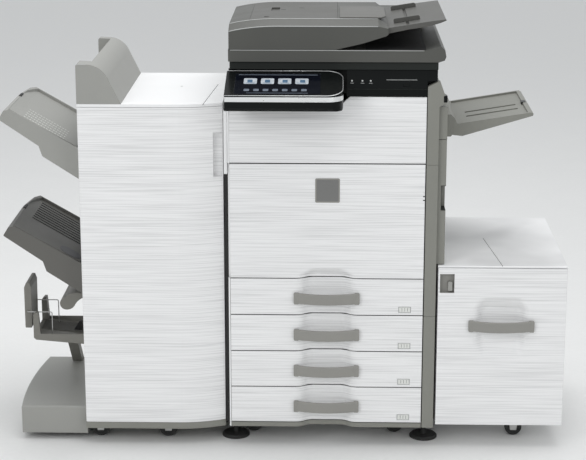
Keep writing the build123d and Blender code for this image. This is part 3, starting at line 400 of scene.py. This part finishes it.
def strip(name, path, low, high, thick, body, material):
    """A band that stands along a plan path: inner and outer wall, from low to high, closed."""
    bm = bmesh.new()
    rings = []
    for index, (x, y) in enumerate(path):
        before = Vector(path[max(index - 1, 0)])
        after = Vector(path[min(index + 1, len(path) - 1)])
        along = (after - before).normalized()
        out = Vector((along.y, -along.x))
        outer = Vector((x, y)) + out * thick
        corners = ((x, y, low), (outer.x, outer.y, low + STRIP_EASE),
                   (outer.x, outer.y, high - STRIP_EASE), (x, y, high))
        rings.append([bm.verts.new(at(*corner)) for corner in corners])
    for ring, following in zip(rings, rings[1:]):
        for k in range(4):
            bm.faces.new((ring[k], ring[(k + 1) % 4], following[(k + 1) % 4], following[k]))
    bm.faces.new(rings[0])
    bm.faces.new(rings[-1])
    return finish_piece(name, bm, body, material)


TUBE_SIDES = 10


def tube(name, points, radius, body, material):
    """A thin round bead along points in the shared frame; its radius is in millimetres."""
    bm = bmesh.new()
    rings = []
    for index, point in enumerate(points):
        before = points[max(index - 1, 0)]
        after = points[min(index + 1, len(points) - 1)]
        along = (after - before).normalized()
        side = along.cross(Vector((0, 0, 1)))
        if side.length < 0.01:
            side = along.cross(Vector((1, 0, 0)))
        side.normalize()
        up = side.cross(along)
        ring = []
        for k in range(TUBE_SIDES):
            angle = 2 * pi * k / TUBE_SIDES
            ring.append(bm.verts.new(point + (side * cos(angle) + up * sin(angle)) * radius / 1000))
        rings.append(ring)
    for ring, following in zip(rings, rings[1:]):
        for k in range(TUBE_SIDES):
            beside = (k + 1) % TUBE_SIDES
            bm.faces.new((ring[k], ring[beside], following[beside], following[k]))
    bm.faces.new(rings[0])
    bm.faces.new(rings[-1])
    obj = finish_piece(name, bm, body, material)
    for polygon in obj.data.polygons:
        polygon.use_smooth = True
    return obj


def liner(name, wide, high, deep, wall, place, body, material):
    """Open-fronted pocket liner: local XY is the mouth, and local Z points out of it."""
    bm = bmesh.new()
    outer = metres(rounded(0, wide, 0, high, 3))
    inner = metres(rounded(wall, wide - wall, wall, high - wall, 2.4))
    levels = ((outer, 0.0), (outer, -deep), (inner, -deep + wall), (inner, 0.0))
    loops = []
    for outline, level in levels:
        loops.append([bm.verts.new((x, y, level / 1000)) for x, y in outline])
    count = len(outer)
    for first, second in ((0, 1), (3, 0), (2, 3)):
        for k in range(count):
            bm.faces.new((loops[first][k], loops[first][(k + 1) % count],
                          loops[second][(k + 1) % count], loops[second][k]))
    bm.faces.new(loops[1])
    bm.faces.new(loops[2])
    bmesh.ops.transform(bm, matrix=place, verts=bm.verts[:])
    return finish_piece(name, bm, body, material)


# ---------------------------------------------------------------------------------------------
# Control panel and console
# ---------------------------------------------------------------------------------------------
PANEL_FRONT = Vector((-133.0, 1059.0))      # Y, Z of the glass's front edge
PANEL_BACK = Vector((25.0, 1100.0))
PANEL_WIDE = 322.0
PANEL_SLOPE = atan2(PANEL_BACK.y - PANEL_FRONT.y, PANEL_BACK.x - PANEL_FRONT.x)
CORNER = 46.0                               # plan radius of the panel's right-hand corners


def on_panel(x, back, lift=0.0):
    """Local X to the right, local Y up the panel's slope, local Z out of its face."""
    y = PANEL_FRONT.x + back * cos(PANEL_SLOPE) - lift * sin(PANEL_SLOPE)
    z = PANEL_FRONT.y + back * sin(PANEL_SLOPE) + lift * cos(PANEL_SLOPE)
    return Matrix.Translation(at(x, y, z)) @ Matrix.Rotation(PANEL_SLOPE, 4, "X")


CORNER_STEPS = 10


def panel_edge(grow):
    """Plan path round the panel: along the front, then round the right-hand end."""
    x1, y0, y1 = PANEL_WIDE + grow, PANEL_FRONT.x - grow, PANEL_BACK.x + grow
    bend = CORNER + grow
    path = [(1.5, y0)]
    for cx, cy, start in ((x1 - bend, y0 + bend, -90), (x1 - bend, y1 - bend, 0)):
        for step in range(CORNER_STEPS + 1):
            angle = radians(start + 90 * step / CORNER_STEPS)
            path.append((cx + bend * cos(angle), cy + bend * sin(angle)))
    return path


def panel_trim():
    """Silver rail on the panel's front edge and a bright bead round its face."""
    front = [point for point in panel_edge(-0.9) if point[1] < PANEL_FRONT.x + CORNER + 5]
    strip("panel_rail", front, 1041.5, 1055.5, 1.4, "panel", "silver")
    incline = (PANEL_BACK.y - PANEL_FRONT.y) / (PANEL_BACK.x - PANEL_FRONT.x)
    bead = []
    for x, y in panel_edge(-0.5):
        bead.append(at(x, y, PANEL_FRONT.y + (y - PANEL_FRONT.x) * incline + 0.1))
    back_left = at(1.5, PANEL_BACK.x - 1.5, PANEL_BACK.y - 0.2)
    tube("panel_bead", bead + [back_left], 0.9, "panel", "silver")


TILE_LEFTS = (50.0, 97.0, 144.0, 191.0)
TILE_WIDE = 36.0
TILE_BACK = (76.0, 112.0)
KEY_LEFT, KEY_PITCH, KEY_COUNT = 52, 26, 7
SCREEN_LIFT = 0.12
SCREEN_LAYER = 0.0002                       # thickness of what is drawn on the display, in metres


def screen_contents():
    """Generic menu on the display: four tiles with simple glyphs, a row of keys and two bars."""
    tiles = bmesh.new()
    glyphs = bmesh.new()
    low = on_panel(0, 0, SCREEN_LIFT)
    high = on_panel(0, 0, SCREEN_LIFT + 0.2)
    y0, y1 = TILE_BACK
    for index, left in enumerate(TILE_LEFTS):
        tile = rounded(left, left + TILE_WIDE, y0, y1, 4)
        add_prism(tiles, metres(tile), SCREEN_LAYER, low)
        mid = left + TILE_WIDE / 2
        page = rounded(mid - 8 + index, mid + 6 + index, y0 + 9, y0 + 27, 1.5)
        add_prism(glyphs, metres(page), SCREEN_LAYER, high)
        bar = rounded(mid - 12, mid + 12, y0 + 4, y0 + 6.5, 1.0)
        add_prism(glyphs, metres(bar), SCREEN_LAYER, high)
    finish_piece("screen_tiles", tiles, "panel", "screen_tile")
    finish_piece("screen_glyphs", glyphs, "panel", "screen_glyph")
    keys = bmesh.new()
    for index in range(KEY_COUNT):
        left = KEY_LEFT + KEY_PITCH * index
        add_prism(keys, metres(rounded(left, left + 15, 30, 44, 3)), SCREEN_LAYER, low)
    add_prism(keys, metres(rounded(34, 252, 134, 137, 1.2)), SCREEN_LAYER, low)
    add_prism(keys, metres(rounded(60, 226, 17, 19, 0.9)), SCREEN_LAYER, low)
    finish_piece("screen_keys", keys, "panel", "screen_dim")


CONSOLE_LOW = Vector((0.0, 1057.0))         # Y, Z of the console face's lower edge
CONSOLE_HIGH = Vector((25.0, 1103.0))


CONSOLE_SLOPE = atan2(CONSOLE_HIGH.y - CONSOLE_LOW.y, CONSOLE_HIGH.x - CONSOLE_LOW.x)
MARK_XS = (346.6, 375.5, 398.4)             # indicator windows on the console
MARK_UP = 21


def on_console(x, up):
    """Local X to the right, local Y up the console's slope, local Z out of its face."""
    y = CONSOLE_LOW.x + up * cos(CONSOLE_SLOPE)
    z = CONSOLE_LOW.y + up * sin(CONSOLE_SLOPE)
    return Matrix.Translation(at(x, y, z)) @ Matrix.Rotation(CONSOLE_SLOPE, 4, "X")


def console_marks():
    """Small indicator windows, a thin inlay line and the strip's trim."""
    marks = bmesh.new()
    for x in MARK_XS:
        place = on_console(x, MARK_UP)
        add_prism(marks, metres(circle(0, 0, 2.6)), 0.0005, place, 0.0001)
        add_prism(marks, metres(rounded(-5, 5, -7.4, -6.2, 0.5)), 0.0004, place, 0.0001)
    finish_piece("console_marks", marks, "machine", "mark_grey")
    inlay = bmesh.new()
    line = rounded(0, 85, -0.6, 0.6, 0.5)
    add_prism(inlay, metres(line), 0.0005, on_console(442, 24), 0.0001)
    finish_piece("console_inlay", inlay, "machine", "mark_grey")
    block("console_strip_trim", 334, 555, 3.0, 4.6, 1052.6, 1054.8, 0.4, "machine", "dark_plastic")


# ---------------------------------------------------------------------------------------------
# Fronts
# ---------------------------------------------------------------------------------------------
def door_badge():
    """Plain grey plate on the front door, with a raised rim and an empty field."""
    prism("door_plate", rounded(246, 315, 730, 800, 4), 1.4, facing_front(0, 0.2, 0), 0.4, "door",
          "handle_grey")
    prism("door_plate_field", rounded(250, 311, 734, 796, 3), 0.5, facing_front(0, -1.1, 0), 0.2,
          "door", "badge_metal")
    for row, z in enumerate((749.0, 738.0)):
        block(f"door_grip_mark_{row}", 548.5, 553.2, -0.35, 0.6, z - 1.5, z + 1.5, 0.3, "door",
              "dark_plastic")


def label_windows():
    """Paper-size window in each drawer front: a frame, a blank card behind it and three ticks."""
    bars = ((484.3, 519.7, 7.2, 8.8), (484.3, 519.7, 23.2, 24.8), (484.3, 486.2, 8.8, 23.2),
            (517.8, 519.7, 8.8, 23.2))
    card_place = facing_front(0, 1.15, 0)
    tick_place = facing_front(0, 0.62, 0)
    for number in range(1, 5):
        low = low_mm(f"drawer_front_{number}").z
        body = f"drawer_{number}"
        card = rounded(486, 518, low + 8.6, low + 23.4, 1.2)
        prism(f"size_card_{number}", card, 0.5, card_place, 0.1, body, "paper")
        bm = bmesh.new()
        for x0, x1, z0, z1 in bars:
            bar = rectangle(x0, x1, low + z0, low + z1)
            add_prism(bm, metres(bar), 0.0012, card_place, 0.0003)
        finish_piece(f"size_frame_{number}", bm, body, "mark_grey")
        ticks = bmesh.new()
        for x in (494.0, 502.0, 510.0):
            tick = rectangle(x, x + 0.8, low + 11, low + 21)
            add_prism(ticks, metres(tick), 0.0002, tick_place)
        finish_piece(f"size_ticks_{number}", ticks, body, "dark_plastic")


def joining_seal():
    """What closes the gap between the finisher and the main body."""
    block("join_seal", -12.1, -0.6, 32, 58, 60, 806, 1.5, "machine", "black_seal")
    block("join_cover", -11.3, -1.0, 14, 58, 807, 990, 2, "machine", "white_smooth")
    block("join_rear_seal", -13, -0.4, 470, 500, 60, 990, 2, "machine", "black_seal")
    block("cabinet_seal", 590, 594.3, 40, 60, 70, 540, 1, "machine", "black_seal")


def seam_gaskets():
    """Dark gaskets in the seams between the fronts, set back round the finger scoop."""
    bm = bmesh.new()
    # Y of the gaskets' front face, of its part inside the scoop, and of the back
    face, floor, back = 1.2, 21.4, 25.5
    plain = [(7, back), (7, face), (553, face), (553, back)]
    scooped = [(7, back), (7, face), (190, face), (241, floor), (318, floor), (369, face),
               (553, face), (553, back)]
    seams = [(high_mm(f"drawer_front_{number}").z, scooped) for number in range(1, 5)]
    seams.append((high_mm("front_door").z, plain))
    for z, outline in seams:
        gap = 1.9 if outline is plain else 2.5
        add_prism(bm, metres(outline), gap / 1000, facing_up(0, 0, z + 0.15), 0.0001)
    finish_piece("seam_gaskets", bm, "machine", "black_seal")
    block("column_gasket", 554.3, 556.3, 5, 28, 75, 1030, 0.3, "machine", "black_seal")


CAP_LONG = 14.0
CAP_PROUD = 1.2                             # how far a cap stands out round the handle's end


def handle_caps():
    """Rounded end caps of the bow handles."""
    places = [(f"drawer_{number}", f"drawer_handle_{number}") for number in range(1, 5)]
    places.append(("cabinet_drawer", "lcc_handle"))
    for body, node in places:
        low, high = low_mm(node), high_mm(node)
        bm = bmesh.new()
        spans = ((low.x - CAP_PROUD, low.x + CAP_LONG), (high.x - CAP_LONG, high.x + CAP_PROUD))
        for x0, x1 in spans:
            outline = metres(rounded(x0, x1, low.z - CAP_PROUD, high.z + CAP_PROUD, 4))
            add_prism(bm, outline, 0.0095, facing_front(0, -0.4, 0), 0.0022)
        finish_piece(f"{node}_caps", bm, body, "handle_grey")


def side_details():
    """Liners of the grips and exit slot, the shoulder catch and the exit tray's notch."""
    liner("latch_liner", 40.4, 55.4, 11.6, 1.0, facing_front(601.3, -0.1, 467.3), "cabinet_drawer",
          "handle_grey")
    block("shoulder_catch", 600.5, 611, -0.6, 22, 1017, 1036, 1.6, "machine", "gloss_black")
    bm = bmesh.new()
    place = facing_right(599.1, 12.4, 0)
    add_prism(bm, metres(rectangle(0, 47.4, 706.4, 777.6)), 0.0012, place, 0.0003)
    for z in (706.3, 776.5):
        add_prism(bm, metres(rectangle(0, 47.4, z, z + 1.2)), 0.0134, place, 0.0003)
    finish_piece("side_grip_liner", bm, "right_door", "dark_plastic")
    block("exit_tray_notch", 846, 860, 284, 314, 955, 965.8, 1.5, "machine", "gloss_black")
    block("exit_slot_liner", 600, 611, 152, 448, 944.6, 955.4, 0.8, "machine", "black_seal")


# ---------------------------------------------------------------------------------------------
# Document feeder
# ---------------------------------------------------------------------------------------------
def feeder_details():
    """Raised panel, pale beads along the casing's and the lid's edges as painted highlights, the
    ejected sheets' bay with its painted shadow sheet, slits and exit rollers.
    """
    bm = bmesh.new()
    add_prism(bm, metres([(312, 66), (428, 66), (440, 92), (440, 268), (428, 288), (312, 288)]),
              0.0042, facing_up(0, 0, 1240.4), 0.0016)
    finish_piece("feeder_raised_panel", bm, "lid", "feeder_light")
    # pale beads along the casing's rounded front edges: painted highlight lines
    crests = (("feeder_highlight_front", 14.9, 1225.5, 1221.0, 1210.5),
              ("feeder_highlight_crest", 54.9, 1241.0, 1236.5, 1226.0))
    for name, y, top, middle, low in crests:
        arc = []
        pull = 2 * middle - (low + top) / 2
        for step in range(13):
            part = step / 12
            x = 5 * (1 - part) ** 2 + 2 * 57 * part * (1 - part) + 134 * part ** 2
            z = low * (1 - part) ** 2 + 2 * pull * part * (1 - part) + top * part ** 2
            arc.append(at(x, y, z))
        path = arc + [at(300, y, top), at(417, y, top)]
        tube(name, path, 1.2, "lid", "mark_grey")
    # pale bead along the lid's front edge: painted highlight line
    lid_edge = [at(9, 15.2, 1158.8), at(545, 15.2, 1158.8)]
    tube("lid_highlight", lid_edge, 1.0, "lid", "mark_grey")
    block("eject_shadow_sheet", 384, 560, 26, 436, 1159.0, 1159.9, 0.3, "lid", "black_seal")
    block("eject_rear_wall", 553, 560, 440, 556, 1160, 1212, 2, "lid", "dark_plastic")
    cover_top = facing_up(0, 0, high_mm("feeder_cover").z - 0.6)
    for index, (x, y) in enumerate(((107.5, 96.0), (150.4, 240.0), (202.5, 276.0))):
        outline = rounded(x - 7, x + 7, y - 1.6, y + 1.6, 1.5)
        prism(f"feeder_slit_{index}", outline, 0.9, cover_top, 0.2, "feed_cover", "black_seal")
    rollers = bmesh.new()
    for y in (190.0, 286.0):
        add_prism(rollers, metres(circle(447, 1196, 5.5)), 0.026, along_y_from(y), 0.0006)
    finish_piece("feeder_exit_rollers", rollers, "lid", "rubber")


TRAY_FEED = (452.0, 1218.25)                # X, Z where the document tray's ribs start
TRAY_SLOPE = atan2(17.0, 105.7)
GUIDE_MID_Y = 238                           # middle between the two guides, where no rib is made


def document_tray_details():
    """Short ribs at the feed edge of the document tray, clear of the guides."""
    feed_x, feed_z = TRAY_FEED
    rib = rounded(0, low_mm("guide_front").x - 1.5 - feed_x, -1.5, 1.5, 1.4)
    turn = Matrix.Rotation(-TRAY_SLOPE, 4, "Y")
    bm = bmesh.new()
    for index in range(9):
        y = 70 + 42 * index
        if abs(y - GUIDE_MID_Y) >= 12:
            place = Matrix.Translation(at(feed_x, y, feed_z)) @ turn
            add_prism(bm, metres(rib), 0.0011, place, 0.0003)
    finish_piece("document_tray_ribs", bm, "lid", "feeder_top")


# ---------------------------------------------------------------------------------------------
# Finisher
# ---------------------------------------------------------------------------------------------
BED_LOW = Vector((-441.0, 861.0))           # X, Z of the tray bed's inner end
BED_HIGH = Vector((-606.0, 957.0))
TRAY_DROP = 342.0                           # the lower tray below the upper one
BED_SLOPE = atan2(BED_HIGH.y - BED_LOW.y, BED_LOW.x - BED_HIGH.x)


def on_bed(run, y, drop):
    """Local X up the slope towards the outer end, local Y across, local Z out of the bed."""
    x = BED_LOW.x - run * cos(BED_SLOPE)
    z = BED_LOW.y + run * sin(BED_SLOPE) - drop
    turn = Matrix.Rotation(BED_SLOPE, 4, "Y") @ Matrix.Rotation(pi, 4, "Z")
    return Matrix.Translation(at(x, y, z)) @ turn


def tray_details(prefix, body, drop, material):
    """Notch at the outer end, a black wedge at the inner end as painted shade of the recess there,
    and a bright bead on the near edge.
    """
    block(f"{prefix}_notch", -634.5, -627, 296, 336, 970 - drop, 976.2 - drop, 1, body,
          "black_seal")
    # black wedge at the tray's root: painted shade of the recess there
    pocket = [(-440, 855.5), (-421.5, 851), (-421.5, 857.6), (-440, 862.2)]
    prism(f"{prefix}_pocket", [(x, z - drop) for x, z in pocket], 330, along_y_from(108), 0.4, body,
          "black_seal")
    rim = [at(-437, 83.5, 869.6 - drop), at(-530, 83.5, 922.9 - drop), at(-624, 83.5, 976.6 - drop)]
    tube(f"{prefix}_rim_bead", rim, 1.6, body, material)


def upper_tray_details():
    """Rows of pale dots on the upper tray's bed."""
    tray_details("upper_tray", "upper_output", 0.0, "light_grey")
    bm = bmesh.new()
    # pale raised dots in rows, lighter than the bed
    dot = rounded(-2.8, 2.8, -2.0, 2.0, 1.2, 2)
    for y in (128.0, 152.0, 176.0, 200.0, 224.0):
        for step in range(15):
            place = on_bed(44 + 9.0 * step, y, 0.0)
            add_prism(bm, metres(dot), 0.0006, place, 0.0001, 1)
    finish_piece("upper_tray_pale_dots", bm, "upper_output", "paper")


def lower_tray_details():
    """Dark ribs on the lower tray's bed, and a darker patch on it as painted shade of a shallow
    dip.
    """
    tray_details("lower_tray", "lower_output", TRAY_DROP, "tray_dark")
    bm = bmesh.new()
    rib = rounded(4, 186, -1.3, 1.3, 1.2)
    for index in range(9):
        place = on_bed(0, 262 + 21.5 * index, TRAY_DROP)
        add_prism(bm, metres(rib), 0.0016, place, 0.0004)
    finish_piece("lower_tray_ribs", bm, "lower_output", "dark_plastic")
    # darker patch on the bed: painted shade of a shallow dip
    valley_shade = bmesh.new()
    dip = rounded(2, 70, -30, 30, 28, 8)
    add_prism(valley_shade, metres(dip), 0.0005, on_bed(0, 150, TRAY_DROP), 0.0002)
    finish_piece("lower_tray_basin", valley_shade, "lower_output", "toner_plastic")


def hood_details():
    """Dark slit in the hood's throat, feed rollers in it, and a pale bead on the front cap's crest
    as a painted highlight.
    """
    block("hood_slit", -383.6, -375, 67, 469, 1103.3, 1108.6, 0.6, "machine", "black_seal")
    block("hood_edge_gap", -380.2, -377.6, 64, 472, 1112, 1117.5, 0.4, "machine", "black_seal")
    # pale bead along the front cap's crest: painted highlight line
    crest = ((-419, 1115), (-415, 1120), (-390, 1119))
    tube("hood_edge_highlight", [at(x, 2.4, z - 0.4) for x, z in crest], 0.9, "machine", "mark_grey")
    rollers = bmesh.new()
    for y in (150.0, 250.0, 350.0):
        add_prism(rollers, metres(circle(-385, 1097, 6, 20)), 0.022, along_y_from(y), 0.0008)
    finish_piece("hood_rollers", rollers, "machine", "rubber")


EXIT_Z = 884.0                              # lower edge of the upper exit's mouth


def finisher_details():
    """Screw cap on the finisher's top and the exits in its left side."""
    top = high_mm("finisher_frame").z
    prism("finisher_top_cap", circle(-150, 282, 4, 24), 0.8, facing_up(0, 0, top - 0.2), 0.3,
          "machine", "mark_grey")
    for name, z in (("upper", EXIT_Z), ("lower", EXIT_Z - TRAY_DROP)):
        block(f"{name}_exit_mouth", -419.9, -418.4, 96, 454, z, z + 26, 0.5, "machine",
              "dark_plastic")
        bm = bmesh.new()
        for y in (140.0, 230.0, 320.0, 410.0):
            add_prism(bm, metres(circle(-415.6, z + 13, 4.2, 20)), 0.018, along_y_from(y), 0.0008)
        finish_piece(f"{name}_exit_rollers", bm, "machine", "rubber")


def booklet_details():
    """Ribs in the booklet trough and the small wedge beside its exit."""
    bm = bmesh.new()
    slope = atan2(16.0, 167.5)
    turn = Matrix.Rotation(pi, 4, "Z") @ Matrix.Rotation(-slope, 4, "Y")
    for index in range(9):
        place = Matrix.Translation(at(-424.0, 200 + 9.5 * index, 270.9)) @ turn
        add_prism(bm, metres(rounded(0, 152, -1.6, 1.6, 1.4)), 0.0022, place, 0.0005)
    finish_piece("booklet_tray_ribs", bm, "machine", "tray_dark")
    wedge = [(-480, 277), (-456, 275), (-456, 303), (-462, 305)]
    prism("booklet_wedge", wedge, 16, along_y_from(212), 0.8, "machine", "black_seal")


# ---------------------------------------------------------------------------------------------
# Back
# ---------------------------------------------------------------------------------------------
SCREW_RADIUS = 0.0038
SCREW_RISE = 0.0016


def screw_head(bm, place):
    """Domed screw head with a raised cross on it."""
    head = [(x * SCREW_RADIUS, y * SCREW_RADIUS) for x, y in circle(0, 0, 1.0, 18)]
    add_prism(bm, head, SCREW_RISE, place, 0.0006)
    lift = place @ Matrix.Translation((0, 0, SCREW_RISE - 0.00005))
    for turn in (0.0, pi / 2):
        bar = lift @ Matrix.Rotation(turn, 4, "Z")
        add_prism(bm, rectangle(-0.0022, 0.0022, -0.0004, 0.0004), 0.0002, bar)


def rear_details():
    """Screws on the three backs and a blank rating plate."""
    back = high_mm("rear_cover").y
    cabinet_back = high_mm("lcc_cabinet").y
    finisher_back = high_mm("finisher_frame").y
    fields = (((14.0, 200.0, 400.0, 575.0), (75.0, 330.0, 640.0, 1010.0), back - 1.6),
              ((606.0, 950.0), (85.0, 300.0, 525.0), cabinet_back - 0.2),
              ((-405.0, -30.0), (90.0, 520.0, 970.0), finisher_back - 0.2))
    screws = bmesh.new()
    for columns, rows, y in fields:
        for x in columns:
            for z in rows:
                screw_head(screws, facing_back(x, y, z))
    finish_piece("rear_screws", screws, "machine", "steel")
    plate = rounded(-160, -70, 470, 520, 3)
    prism("rear_rating_plate", plate, 0.6, facing_back(0, back - 0.5, 0), 0.2, "machine", "silver")


def top_creases():
    """Dark lines in the grooves on top of the finisher and of the paper cabinet."""
    creases = (("finisher_crease", "finisher_frame", (-56, 160), -4, 318),
               ("cabinet_crease", "lcc_cabinet", (762, 150), 6, 298))
    for name, node, (x, y), turn, long in creases:
        place = facing_up(x, y, high_mm(node).z - 0.95) @ Matrix.Rotation(radians(turn), 4, "Z")
        prism(name, rectangle(-0.7, 0.7, -long / 2, long / 2), 0.75, place, 0.1, "machine",
              "black_seal")


def stage():
    """Pale floor under the object."""
    bm = bmesh.new()
    bmesh.ops.create_grid(bm, x_segments=8, y_segments=8, size=14.0)
    mesh = bpy.data.meshes.new("floor")
    bm.to_mesh(mesh)
    bm.free()
    floor = bpy.data.objects.new("floor", mesh)
    floor.location.z = -0.0005
    bpy.context.scene.collection.objects.link(floor)
    mesh.materials.append(plastic("floor_paint", (0.80, 0.80, 0.79), vary=0.015, rough=(0.55, 0.65),
                                  grain=60.0, depth=0.00005, edge=0.0))


def aimed(place, aim):
    """Rotation that points local -Z from one point at another."""
    return (Vector(aim) - Vector(place)).to_track_quat("-Z", "Y").to_euler()


def area_light(name, place, aim, size, watts):
    """A rectangular soft light."""
    light = bpy.data.lights.new(name, "AREA")
    light.shape = "RECTANGLE"
    light.size, light.size_y = size
    light.energy = watts
    obj = bpy.data.objects.new(name, light)
    obj.location = place
    obj.rotation_euler = aimed(place, aim)
    bpy.context.scene.collection.objects.link(obj)


def studio():
    """Soft light from above, in front and both sides, and a pale surrounding."""
    world = bpy.data.worlds.new("studio")
    bpy.context.scene.world = world
    world.use_nodes = True
    background = world.node_tree.nodes["Background"]
    background.inputs["Color"].default_value = (0.93, 0.95, 0.97, 1)
    background.inputs["Strength"].default_value = 0.72
    area_light("key", (-3.0, -4.4, 3.4), (0, 0, 0.6), (2.2, 1.8), 60)
    area_light("top", (0.2, 0.2, 4.0), (0, 0, 0.5), (3.6, 2.6), 75)
    area_light("fill", (3.2, -4.6, 2.0), (0.2, 0, 0.6), (1.8, 2.4), 20)
    bpy.context.scene.view_settings.view_transform = "Standard"


CAMERA_PLACE = (0.1408, -4.8335, 1.904)
CAMERA_AIM = (0.0305, -0.2335, 0.752)
LENS = 103.8
SHIFT = -0.06                               # a little lens shift, so the uprights lean less


def camera():
    """Camera at standing eye height, in front and a little to the right of the middle."""
    data = bpy.data.cameras.new("camera")
    data.lens = LENS
    data.sensor_width = 36.0
    data.shift_y = SHIFT
    obj = bpy.data.objects.new("camera", data)
    obj.location = CAMERA_PLACE
    obj.rotation_euler = aimed(CAMERA_PLACE, CAMERA_AIM)
    bpy.context.scene.collection.objects.link(obj)
    bpy.context.scene.camera = obj


paint_cad()
panel_trim()
screen_contents()
console_marks()
door_badge()
label_windows()
joining_seal()
seam_gaskets()
handle_caps()
side_details()
feeder_details()
document_tray_details()
upper_tray_details()
lower_tray_details()
hood_details()
finisher_details()
booklet_details()
rear_details()
top_creases()
stage()
studio()
camera()
